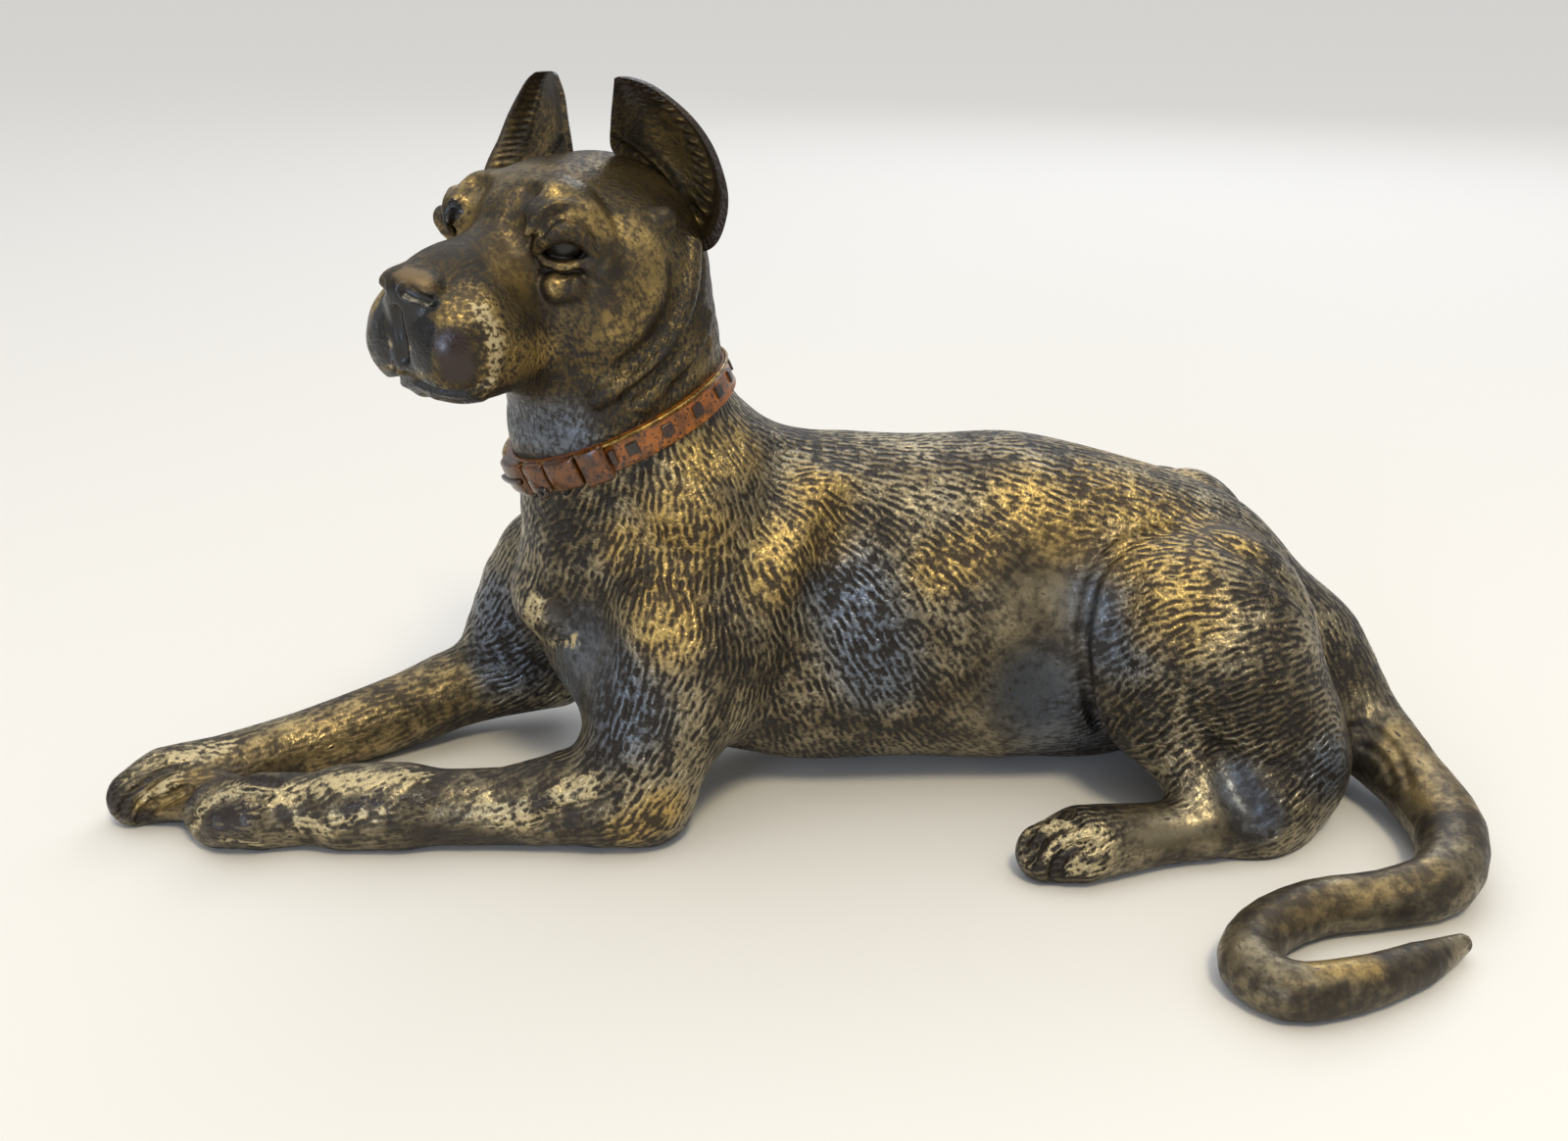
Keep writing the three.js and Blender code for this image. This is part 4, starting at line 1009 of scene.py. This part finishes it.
body_cell, head_cell = ((0.45, 0.3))
castings = {}
below_collar, above_collar = inside(body, over_collar), inside(head, under_collar)
points, quads = skin_of(below_collar, (-92, -54, -2), (92, 54, 64), body_cell)
owner = owners(points[quads].mean(1))
for number, name in enumerate(["torso_casting", *seams]):
    castings[name] = make_casting(name, below_collar, points, quads[owner == number], body_guides, body_spots)
points, quads = skin_of(above_collar, (-52, -30, 42), (2, 24, 90), head_cell)
castings["head_casting"] = make_casting("head_casting", above_collar, points, quads, head_guides, head_spots)

# %% [markdown]
# ## Ears
# An ear is a cupped leaf of bronze with a rolled and combed rim, soldered on the head. It could be
# bent from a plate, but its two edges are curves in space. So they are drawn where they are seen, each
# point at its distance from the eye, and the wall between them is laid in rows that bow away.


# %% Ears
def drawn(rows):
    pixels, distances = np.array(rows, float)[:, :2], np.array(rows, float)[:, 2]
    return eye_point + rays_through(pixels) * distances[:, None]


near_front = [(640, 172, 195.0), (624, 152, 194.5), (623, 125, 192.5), (625, 100, 191.0), (627, 80, 190.2)]
near_outer = [(706, 262, 194.5), (730, 250, 192.4), (741, 224, 191.0), (743, 200, 190.2), (738, 176, 189.8),
              (727, 148, 189.5), (709, 122, 189.4), (688, 102, 189.5), (665, 86, 189.7), (645, 79, 189.9),
              (631, 77.5, 190.1)]
far_front = [(586, 166, 197.0), (582, 145, 196.5), (578, 124, 196.5), (574, 96, 197.0), (568, 77, 197.5)]
far_outer = [(490, 190, 208.0), (500, 163, 209.0), (511, 142, 209.3), (521, 118, 208.0), (534, 94, 205.0),
             (545, 78, 201.5), (558, 69, 198.5)]
ear_rows, half_loop = 150, 36


def edge(drawing):
    path = smooth_path(drawn(drawing), 12)
    along = np.linspace(0, len(path) - 1, ear_rows)
    return np.stack([np.interp(along, range(len(path)), path[:, k]) for k in range(3)], -1)


def hump(across, at, width):
    return np.exp(-((across - at) / width) ** 2)


print("the near ear's tip is at", edge(near_outer)[-1].round(1), "mm")

# %% [markdown]
# Each row of the leaf is a loop round the wall. Its inner side swells to the rim, dips to a groove, and
# carries the comb and the low fold near the head. The channel of hollows and shade paints shade into the
# comb's gaps and the middle of the cup. It paints a shadow into a band just beside the low fold, where the
# fold throws it, and there it also keeps the metal in its dark patina tone.


# %% The leaf of an ear
def leaf_rows(front, outer, side, depth, comb_at, comb_lift):
    across = (1 - np.cos(np.linspace(0, math.pi, half_loop))) / 2
    across = across + 0.06 * np.sin(across * math.pi) ** 2
    points, hollow_and_shade = [], []
    for row in range(ear_rows):
        share = row / (ear_rows - 1)
        chord = outer[row] - front[row]
        facing = np.cross(chord, [0, 0, 1.0])
        facing *= side / np.linalg.norm(facing)
        bow = 4 * across * (1 - across) * (depth[0] + (depth[1] - depth[0]) * share) * np.linalg.norm(chord)
        middle = front[row] + across[:, None] * chord - bow[:, None] * facing
        ends = np.sqrt(np.maximum(1 - (2 * across - 1) ** 8, 0)) * (1 - 0.4 * share)
        rim = 2.0 * hump(across, 0.91, 0.075) + 0.35 * hump(across, 0.04, 0.05)
        groove = 0.6 * hump(across, 0.77, 0.05)
        comb = comb_lift * math.sin(row * 0.75) * hump(across, comb_at + 0.02, 0.08)
        fold_at = 0.06 + 1.1 * (0.42 - share)
        fold = hump(across, fold_at, 0.045) * min(1.0, max(0.0, (0.44 - share) / 0.08))
        inner = middle + ((0.45 + rim - groove + comb + fold) * ends)[:, None] * facing
        back = middle - ((0.5 + 0.5 * rim) * ends)[:, None] * facing
        points.extend(np.vstack([inner, back[-2:0:-1]]))
        # Painted shade in the gaps of the comb, and a little in the middle of the cup
        comb_gap_shade = 0.45 + 0.4 * math.sin(row * 0.75 + math.pi)
        shade = 0.15 + 0.1 * np.sin(across * math.pi) ** 2 + comb_gap_shade * hump(across, comb_at, 0.1)
        # Painted shadow: a dark band just beside the low fold, where the fold throws its shadow
        shade = np.clip(shade + 0.6 * hump(across, fold_at + 0.08, 0.05) * (share < 0.4), 0, 1)
        hollow_and_shade.extend(np.concatenate([shade, np.full(half_loop - 2, 0.25)]))
    return points, hollow_and_shade


def ear(name, side, front_rows, outer_rows, depth, lip_highlight_tone, comb_at, comb_lift):
    front, outer = edge(front_rows), edge(outer_rows)
    points, hollow_and_shade = leaf_rows(front, outer, side, depth, comb_at, comb_lift)
    ring = 2 * half_loop - 2
    top = (ear_rows - 1) * ring
    faces = [(r * ring + i, r * ring + (i + 1) % ring, (r + 1) * ring + (i + 1) % ring, (r + 1) * ring + i)
             for r in range(ear_rows - 1) for i in range(ring)]
    points = np.array(points + [(front[0] + outer[0]) / 2, (front[-1] + outer[-1]) / 2])
    hollow_and_shade = np.array(hollow_and_shade + [0.5, 0.3])
    faces += [((i + 1) % ring, i, len(points) - 2) for i in range(ring)]
    faces += [(top + i, top + (i + 1) % ring, len(points) - 1) for i in range(ring)]
    if side > 0:
        faces = [face[::-1] for face in faces]
    thing = object_from(name + "_leaf", in_frame(points), faces)
    thing.data.polygons.foreach_set("use_smooth", [True] * len(faces))
    normals = np.array([vertex.normal for vertex in thing.data.vertices])
    cup = points[half_loop // 2:80 * ring:8 * ring]
    lip = points[round(half_loop * (comb_at - 0.06)):top:3 * ring]
    rim_roll_shade = points[round(half_loop * 0.83):top:3 * ring]
    tip = points[half_loop // 2 + 112 * ring:top:6 * ring]
    # The cup and the lip get painted highlights in warm and gold, the brown on the rolled rim is painted
    # shade, and the tip is darkened brown
    spots = [("warm", 6.0, cup), (lip_highlight_tone, 1.5, lip), ("brown", 1.9, rim_roll_shade), ("brown", 4.2, tip),
             ("sleek", 9.0, cup)]
    dress(thing, points, normals, hollow_and_shade, head_guides, spots)
    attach(thing, "root")
    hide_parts(name)
    print(name, len(faces), "faces")
    return thing


castings["left_ear"] = ear("left_ear", 1, near_front, near_outer, (0.42, 0.4), "gold", 0.68, 0.5)
castings["right_ear"] = ear("right_ear", -1, far_front, far_outer, (0.14, 0.12), "warm", 0.78, 0.14)

# %% [markdown]
# ## The collar
# The strap is a flat band with a raised upper edge and a row of square studs. It could be spun from
# its section, but the studs and fittings would then have to be bent to it one by one. So all pieces
# are modelled flat and laid round the neck in one way: along the strap, across it, and up from it.

# %% Collar frame and the wrap
collar_front = np.array([-1.0, 0.0, 0.0]) + collar_normal * collar_normal[0]
collar_front /= np.linalg.norm(collar_front)
collar_side = np.cross(collar_normal, collar_front)
strap_inner, strap_outer, strap_width = 13.9, 15.2, 3.8
print("the strap is", round(strap_outer - strap_inner, 2), "mm thick and", strap_width, "mm wide")


def wrap(thing, turn_degrees, radius):
    mesh = thing.data
    flat = np.array([vertex.co for vertex in mesh.vertices])
    angle = math.radians(turn_degrees) + flat[:, 0] / strap_outer
    out = np.outer(np.cos(angle), collar_front) + np.outer(np.sin(angle), collar_side)
    points = collar_at + out * (radius + flat[:, 2])[:, None] + np.outer(flat[:, 1], collar_normal)
    mesh.vertices.foreach_set("co", in_frame(points).ravel())
    mesh.update()


def apply_modifiers(thing):
    activate(thing)
    for modifier in list(thing.modifiers):
        bpy.ops.object.modifier_apply(modifier=modifier.name)


def block(name, length, width, height, bevel, dome=0.0):
    deselect()
    bpy.ops.mesh.primitive_cube_add(size=1.0)
    thing = bpy.context.active_object
    thing.name = name
    bpy.ops.transform.resize(value=(length, width, height))
    bpy.ops.object.transform_apply(location=True, rotation=True, scale=True)
    edge = thing.modifiers.new("edge", "BEVEL")
    edge.width, edge.segments, edge.limit_method = bevel, 4, "NONE"
    apply_modifiers(thing)
    bpy.ops.object.mode_set(mode="EDIT")
    bpy.ops.mesh.select_all(action="SELECT")
    bpy.ops.mesh.subdivide(number_cuts=5)
    bpy.ops.object.mode_set(mode="OBJECT")
    for vertex in thing.data.vertices:
        along, over = 2 * vertex.co.x / length, 2 * vertex.co.y / width
        if vertex.co.z > 0:
            vertex.co.z += dome * (1 - along ** 2) * (1 - over ** 2)
    return thing


def join(things, name):
    deselect()
    for thing in things:
        thing.select_set(True)
    bpy.context.view_layer.objects.active = things[0]
    bpy.ops.object.join()
    things[0].name = name
    return things[0]


# %% [markdown]
# The strap starts as a torus, since that is already one closed ring. Its round section is pressed to a flat
# one with two raised lines. One stud is modelled and copied round, and a thin torus is the gold upper edge,
# which carries a painted highlight.

# %% Strap, studs and edge
flat_radius, stud_count = 4.0, 13
first_stud, stud_step = 102.0, 18.0


def ring_section(thing):
    ring = np.array([vertex.co for vertex in thing.data.vertices])
    turn = np.arctan2(ring[:, 1], ring[:, 0]) * strap_outer
    return turn, np.hypot(ring[:, 0], ring[:, 1]) - flat_radius, ring[:, 2]


deselect()
bpy.ops.mesh.primitive_torus_add(major_radius=flat_radius, minor_radius=1.0, major_segments=180,
                                 minor_segments=28)
strap = bpy.context.active_object
along, level, height = ring_section(strap)
section = np.arctan2(height, level)
over = np.sign(height) * np.abs(np.sin(section)) ** 0.5 * strap_width / 2
up = np.sign(level) * np.abs(np.cos(section)) ** 0.35 * (strap_outer - strap_inner) / 2
up += np.where(level > 0, 0.28 * hump(over, 1.6, 0.22) + 0.16 * hump(over, -1.68, 0.2), 0)
strap.data.vertices.foreach_set("co", np.stack([along, over, up], -1).ravel())
wrap(strap, 0, (strap_inner + strap_outer) / 2)
pattern_stud = block("stud", 1.5, 1.5, 0.6, 0.12)
studs = []
for number in range(stud_count):
    stud = pattern_stud.copy()
    stud.data = pattern_stud.data.copy()
    bpy.context.scene.collection.objects.link(stud)
    wrap(stud, first_stud + number * stud_step, strap_outer)
    studs.append(stud)
bpy.data.objects.remove(pattern_stud)
bpy.ops.mesh.primitive_torus_add(major_radius=flat_radius, minor_radius=0.24, major_segments=180,
                                 minor_segments=12)
edging = bpy.context.active_object
along, level, height = ring_section(edging)
edging.data.vertices.foreach_set("co", np.stack([along, 1.72 + height, level], -1).ravel())
wrap(edging, 0, strap_outer + 0.18)
print("collar strap and", len(studs), "studs")

# %% [markdown]
# In front the strap end passes a buckle and a keeper: plump enamelled blocks with grooves between them, and a
# dark lip round the tip. The prong's hole in the strap end and the keeper's slot are dark solid pieces,
# painted shade where the openings would be. Each is a cube with bevelled edges and a domed top, bent to the
# neck as the strap is.

# %% Buckle, strap end, keeper and prong
# Length, width, height, edge, dome, turn in degrees, and distance from the neck's middle
fitting_rows = {
    "buckle_plate": (5.6, 4.4, 1.4, 0.5, 0.4, 33.0, 15.6),
    "buckle_lip": (6.2, 4.9, 1.1, 0.4, 0.0, 33.0, 15.4),
    "strap_end_block": (3.5, 4.0, 1.4, 0.5, 0.4, 52.0, 15.5),
    "strap_end_long_block": (4.4, 4.1, 1.4, 0.5, 0.5, 68.0, 15.5),
    "keeper_band": (3.4, 4.7, 1.5, 0.5, 0.4, 84.0, 15.8),
    # The keeper's slot is a dark raised block, painted shade where the opening would be
    "keeper_slot_painted_shade": (0.9, 2.0, 0.8, 0.3, 0.0, 92.5, 15.5),
    "collar_prong_bar": (5.4, 0.8, 0.8, 0.3, 0.0, 33.0, 16.6),
}
lip_offset, eyelet_offset = (-0.5, -0.35, 0.0), (0.0, -1.6, 0.8)
fittings = {name: block(name, *row[:5]) for name, row in fitting_rows.items()}
fittings["buckle_lip"].data.transform(Matrix.Translation(lip_offset))
for name, row in fitting_rows.items():
    wrap(fittings[name], *row[5:])
# A fat dark torus, nearly closed, stands for the prong's hole: painted shade
bpy.ops.mesh.primitive_torus_add(major_radius=0.55, minor_radius=0.34, major_segments=32, minor_segments=14)
eyelet_painted_shade = bpy.context.active_object
eyelet_painted_shade.data.transform(Matrix.Translation(eyelet_offset))
wrap(eyelet_painted_shade, 54.0, 15.6)
print("fittings:", list(fittings))

# %% [markdown]
# ## Finishes
# The figure is cast bronze, browned with heat and acid and then worn: bare metal shows on the hair ridges.
# Gold is partly rubbed metal and partly painted highlight, laid where a warm lamp would glint. The strokes
# are under a millimetre, too fine for the mesh, so the material draws them. A striped noise follows the lie
# of the coat and drives tone and bump.

# %% The coat's strokes
ADD, MULTIPLY = {"operation": "ADD"}, {"operation": "MULTIPLY"}
SCALED_SUM, GREATER = {"operation": "MULTIPLY_ADD"}, {"operation": "MAXIMUM"}
CUT_SUM = {"operation": "ADD", "use_clamp": True}
REST = {"operation": "SUBTRACT", "use_clamp": True}
STEP = {"interpolation_type": "SMOOTHSTEP"}
TINT = {"data_type": "RGBA"}
cloud_share = 0.7


def strokes(tree, pitch, hair_share, crumb_share):
    coords = node(tree, "TexCoord", None, "Object")
    across = node(tree, "Attribute", {"attribute_name": "across"}, "Vector")
    # Rows of hair: short stripes one pitch apart, that fall out of step after two or three
    hair = node(tree, "TexGabor", {"gabor_type": "3D"}, "Value", Vector=coords,
                Scale=1 / (2.0 * pitch * MM), Frequency=2.0, Anisotropy=0.88, i5=across)
    # Crumbs of patina that break the strokes up, clouds of wear, and the grit of the casting
    crumbs = node(tree, "TexNoise", None, 0, Vector=coords, Scale=1 / (1.3 * pitch * MM),
                  Detail=3.0, Roughness=0.65)
    clouds = node(tree, "TexNoise", None, 0, Vector=coords, Scale=1 / (8.0 * MM),
                  Detail=4.0, Roughness=0.6)
    grit = node(tree, "TexNoise", None, 0, Vector=coords, Scale=1 / (0.35 * MM), Detail=2.0)
    stroke = 0.5 - (hair_share + crumb_share + cloud_share) / 2
    for pattern, share in ((hair, hair_share), (crumbs, crumb_share), (clouds, cloud_share)):
        stroke = node(tree, "Math", SCALED_SUM, 0, i0=pattern, i1=share, i2=stroke)
    return stroke, crumbs, clouds, grit


layer_names = [layer.name for layer in castings["torso_casting"].data.attributes]
print("layers on the torso that the bronze can read:", layer_names)

# %% [markdown]
# The tone of the metal goes from the recess through dull to bright. Gold is painted highlight, partly on
# rubbed metal, where a warm lamp would glint, and blue grey is a painted reflection of the cool window.
# Smooth places have no strokes, only mottled patina.


# %% The tone of the metal
def metal_tone(tree, tones, pattern, layers):
    recess, dull, bright = tones
    stroke, crumbs, clouds = pattern
    gold, cool, smooth, hollow_and_shade = layers
    hairy = node(tree, "Math", REST, 0, i0=1.0, i1=smooth)
    ridge = node(tree, "MapRange", STEP, 0, i0=stroke, i1=0.35, i2=0.72)
    mottle = node(tree, "Math", ADD, 0, i0=crumbs, i1=clouds)
    mottle = node(tree, "MapRange", STEP, 0, i0=mottle, i1=0.8, i2=1.25, i3=0.1, i4=0.7)
    ridge = node(tree, "Math", MULTIPLY, 0, i0=ridge, i1=hairy)
    mottle = node(tree, "Math", MULTIPLY, 0, i0=smooth, i1=mottle)
    bare = node(tree, "Math", CUT_SUM, 0, i0=ridge, i1=mottle)
    # Bare metal is kept out of hollows, so the recess patina shows there; on the ears this also carries
    # painted shade
    open_to_hands = node(tree, "MapRange", STEP, 0, i0=hollow_and_shade, i1=0.8, i2=0.15, i3=0.15, i4=1.0)
    bare = node(tree, "Math", MULTIPLY, 0, i0=bare, i1=open_to_hands)
    rubbed = node(tree, "MapRange", STEP, 0, i0=clouds, i1=0.35, i2=0.68)
    metal = node(tree, "Mix", TINT, 2, i0=rubbed, i6=colour(dull), i7=colour(bright))
    # Painted reflection: blue grey where the cool window would show in the metal
    painted_cool_reflection = node(tree, "MapRange", STEP, 0, i0=cool, i1=0.0, i2=1.0, i3=0.0, i4=0.85)
    metal = node(tree, "Mix", TINT, 2, i0=painted_cool_reflection, i6=metal, i7=colour("#76818f"))
    # Painted highlight: gold over the metal, with a warmer ground under it, where the warm lamp would glint,
    # partly on rubbed metal
    highlight_and_rubbed = node(tree, "Math", SCALED_SUM, 0, i0=clouds, i1=0.8, i2=gold)
    highlight_and_rubbed = node(tree, "MapRange", STEP, 0, i0=highlight_and_rubbed, i1=0.5, i2=1.5)
    metal = node(tree, "Mix", TINT, 2, i0=highlight_and_rubbed, i6=metal, i7=colour("#c5a766"))
    ground = node(tree, "Mix", TINT, 2, i0=highlight_and_rubbed, i6=colour(recess), i7=colour("#3c2f1b"))
    tone = node(tree, "Mix", TINT, 2, i0=bare, i6=ground, i7=metal)
    return tone, bare, hairy


# The gold of the painted highlights, laid partly on rubbed metal
print("held gold is", np.round(colour("#c5a766")[:3], 3), "in linear light")

# %% [markdown]
# Over the metal lie worn remains of colour: a cream film on paws and lips, brown lacquer, black on
# nose and mouth, copper on the nose's top and chestnut on the flews. Crumbs break their edges.


# %% Bronze with its stains
def bronze(name, pitch, depth, hair_share, crumb_share, tones):
    made = material(name)
    tree = made.node_tree
    channels = []
    for layer in ("wear_and_highlight", "reflection_smoothness_hollow", "enamel"):
        vector = node(tree, "Attribute", {"attribute_name": layer}, "Vector")
        channels += list(node(tree, "SeparateXYZ", Vector=vector).outputs)
    # gold carries painted highlights on partly rubbed metal, cool a painted reflection of the cool window,
    # and the last touch channel recess patina with painted shade on the ears
    gold, cream, brown, cool, smooth, hollow_and_shade, black, copper, chestnut = channels
    stroke, crumbs, clouds, grit = strokes(tree, pitch, hair_share, crumb_share)
    layers = (gold, cool, smooth, hollow_and_shade)
    tone, bare, hairy = metal_tone(tree, tones, (stroke, crumbs, clouds), layers)
    crumbled = node(tree, "Math", SCALED_SUM, 0, i0=crumbs, i1=1.3, i2=-0.65)
    streaked = node(tree, "Math", SCALED_SUM, 0, i0=stroke, i1=1.6, i2=-0.88)
    cream = node(tree, "Math", ADD, 0, i0=cream, i1=streaked)
    brown = node(tree, "Math", ADD, 0, i0=brown, i1=streaked)
    stains = [(cream, "#bfae84", 0.5, 1.2), (brown, "#251a11", 0.4, 0.9), (black, "#100e0d", 0.35, 0.7),
              (copper, "#6d5a3d", 0.3, 1.0), (chestnut, "#241207", 0.35, 0.7)]
    masks = []
    for amount, code, low, high in stains:
        broken = node(tree, "Math", ADD, 0, i0=amount, i1=crumbled)
        broken = node(tree, "MapRange", STEP, 0, i0=broken, i1=low, i2=high)
        reach = node(tree, "MapRange", STEP, 0, i0=amount, i1=0.0, i2=0.15)
        masks.append(node(tree, "Math", MULTIPLY, 0, i0=broken, i1=reach))
        tone = node(tree, "Mix", TINT, 2, i0=masks[-1], i6=tone, i7=colour(code))
    cream_mask, brown_mask, black_mask, _, chestnut_mask = masks
    # Lacquer is no metal and has a gloss of its own, and the cream film is thin enough to gleam
    glossy = node(tree, "Math", GREATER, 0, i0=black_mask, i1=chestnut_mask)
    film = node(tree, "Math", MULTIPLY, 0, i0=cream_mask, i1=0.4)
    painted = node(tree, "Math", GREATER, 0, i0=glossy, i1=brown_mask)
    painted = node(tree, "Math", GREATER, 0, i0=painted, i1=film)
    unpainted = node(tree, "Math", REST, 0, i0=1.0, i1=painted)
    metallic = node(tree, "MapRange", STEP, 0, i0=bare, i1=0.0, i2=1.0, i3=0.35, i4=0.95)
    metallic = node(tree, "Math", MULTIPLY, 0, i0=unpainted, i1=metallic)
    roughness = node(tree, "MapRange", STEP, 0, i0=bare, i1=0.0, i2=1.0, i3=0.5, i4=0.29)
    roughness = node(tree, "Math", SCALED_SUM, 0, i0=glossy, i1=-0.15, i2=roughness)
    lift = node(tree, "Math", MULTIPLY, 0, i0=stroke, i1=hairy)
    lift = node(tree, "Math", MULTIPLY, 0, i0=lift, i1=1.6)
    lift = node(tree, "Math", SCALED_SUM, 0, i0=grit, i1=0.12, i2=lift)
    bump = node(tree, "Bump", None, 0, Strength=1.0, Distance=depth * MM, Height=lift)
    shade = node(tree, "BsdfPrincipled", None, 0, Base_Color=tone, Metallic=metallic,
                 Roughness=roughness, Normal=bump)
    node(tree, "OutputMaterial", Surface=shade)
    return made


# Patinated bronze, chased with a comb: dark grooves 1 mm apart under bare ridges, a coarse warm gleam
body_bronze = bronze("patinated bronze with combed hair", 1.0, 0.3, 1.0, 1.35,
                     ("#1f1811", "#6b5f48", "#a89b7d"))
# The same bronze stippled and burnished: fine mottled brown, so the face reads smoother than the coat
head_bronze = bronze("patinated bronze with fine hair", 0.62, 0.13, 0.4, 1.3,
                     ("#1f180f", "#534529", "#7c6b48"))
for name, casting in castings.items():
    fine = name in ("head_casting", "left_ear", "right_ear")
    casting.data.materials.append(head_bronze if fine else body_bronze)
print("bronze on", len(castings), "castings")

# %% [markdown]
# The collar is enamel, fired on the metal. Its gloss and warm clouds set it off from the dull bronze, and
# dark flecks show where it is worn through. Along the upper edge a thin gold line is a painted highlight,
# where the raised edge would catch the light.


# %% Enamels and brass
def enamel(name, light, dark, fleck, roughness=0.3, metallic=0.0):
    made = material(name)
    tree = made.node_tree
    coords = node(tree, "TexCoord", None, "Object")
    clouds = node(tree, "TexNoise", None, 0, Vector=coords, Scale=1 / (1.6 * MM), Detail=4.0,
                  Roughness=0.65)
    flecks = node(tree, "TexNoise", None, 0, Vector=coords, Scale=1 / (0.5 * MM), Detail=3.0,
                  Roughness=0.7)
    lit = node(tree, "MapRange", STEP, 0, i0=clouds, i1=0.35, i2=0.65)
    worn = node(tree, "MapRange", STEP, 0, i0=flecks, i1=0.52, i2=0.62)
    tone = node(tree, "Mix", TINT, 2, i0=lit, i6=colour(dark), i7=colour(light))
    tone = node(tree, "Mix", TINT, 2, i0=worn, i6=tone, i7=colour(fleck))
    bump = node(tree, "Bump", None, 0, Strength=0.5, Distance=0.06 * MM, Height=clouds)
    shade = node(tree, "BsdfPrincipled", None, 0, Base_Color=tone, Metallic=metallic,
                 Roughness=roughness, Normal=bump, Coat_Weight=0.25, Coat_Roughness=0.15)
    node(tree, "OutputMaterial", Surface=shade)
    return made


# Orange glass enamel: the one warm band on a dark figure, glossy with a browned ground
orange = enamel("orange collar enamel", "#965406", "#643806", "#1c0f09")
# Chestnut glass enamel: a shade darker than the strap, so buckle and keeper stand off from it
chestnut_enamel = enamel("chestnut buckle enamel", "#6a3a08", "#362008", "#120a06")
# Black brown glass enamel: small glossy darks for the studs, the prong and the lip, and painted shade on the
# solid slot and the prong's hole
dark_enamel = enamel("dark enamel of studs and prong", "#3a2010", "#1a1009", "#0a0806")
# Gold on the raised upper edge: a thin line standing for the glint of the edge, a painted highlight
gilt_edge_highlight = enamel("gilt collar edge with painted highlight", "#b8954c", "#5f4a22", "#20160c", 0.35, 0.9)
finishes = [orange, chestnut_enamel, dark_enamel, gilt_edge_highlight]
print("collar finishes:", [made.name for made in finishes])

# %% [markdown]
# The dowels inside the seams are turned brass rod. They keep their CAD form and get the metal only.

# %% Brass dowels
# Turned brass: plain yellow metal, and fine tool marks make its gleam uneven
brass = material("turned brass of the dowels")
tree = brass.node_tree
coords = node(tree, "TexCoord", None, "Object")
turned = node(tree, "TexNoise", None, 0, Vector=coords, Scale=1 / (0.4 * MM), Detail=2.0)
turned = node(tree, "MapRange", STEP, 0, i0=turned, i1=0.3, i2=0.7, i3=0.25, i4=0.4)
shade = node(tree, "BsdfPrincipled", None, 0, Base_Color=colour("#c9a24e"), Metallic=1.0,
             Roughness=turned)
node(tree, "OutputMaterial", Surface=shade)
dowels = [thing for name, thing in frame["nodes"].items() if name.endswith("_dowel")]
for dowel in dowels:
    for material_slot in dowel.material_slots:
        material_slot.link = "OBJECT"
        material_slot.material = brass
print("brass on", len(dowels), "dowels")

# %% [markdown]
# Each piece of the collar gets its enamel and is joined to one mesh. It then takes the place of its
# CAD piece.

# %% Collar pieces
strap.data.materials.clear()
strap.data.materials.append(orange)
for stud in studs:
    stud.data.materials.append(dark_enamel)
edging.data.materials.append(gilt_edge_highlight)
for name in ("buckle_plate", "strap_end_block", "strap_end_long_block", "keeper_band"):
    fittings[name].data.materials.append(chestnut_enamel)
prong = fittings["collar_prong_bar"]
for thing in (fittings["buckle_lip"], eyelet_painted_shade, fittings["keeper_slot_painted_shade"], prong):
    thing.data.materials.append(dark_enamel)
strap = join([strap, *studs, edging], "collar_band")
buckle = join([fittings["buckle_plate"], fittings["buckle_lip"]], "collar_buckle_plate")
tongue_parts = [fittings["strap_end_block"], fittings["strap_end_long_block"], eyelet_painted_shade]
tongue = join(tongue_parts, "collar_strap_end")
keeper = join([fittings["keeper_band"], fittings["keeper_slot_painted_shade"]], "collar_keeper_band")
collar = [(strap, "collar_strap", "strap_paint"), (tongue, "collar_tongue", "strap_paint"),
          (buckle, "collar_buckle", "buckle_paint"), (prong, "collar_prong", "buckle_paint"),
          (keeper, "collar_keeper", "buckle_paint")]
for thing, name, slot in collar:
    activate(thing)
    bpy.ops.object.shade_smooth_by_angle(angle=math.radians(40))
    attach(thing, "root")
    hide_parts(name)
print("collar pieces:", [thing.name for thing, name, slot in collar])

# %% [markdown]
# Last, the view transform is set to Standard.

# %% Finish
bpy.context.scene.view_settings.view_transform = "Standard"
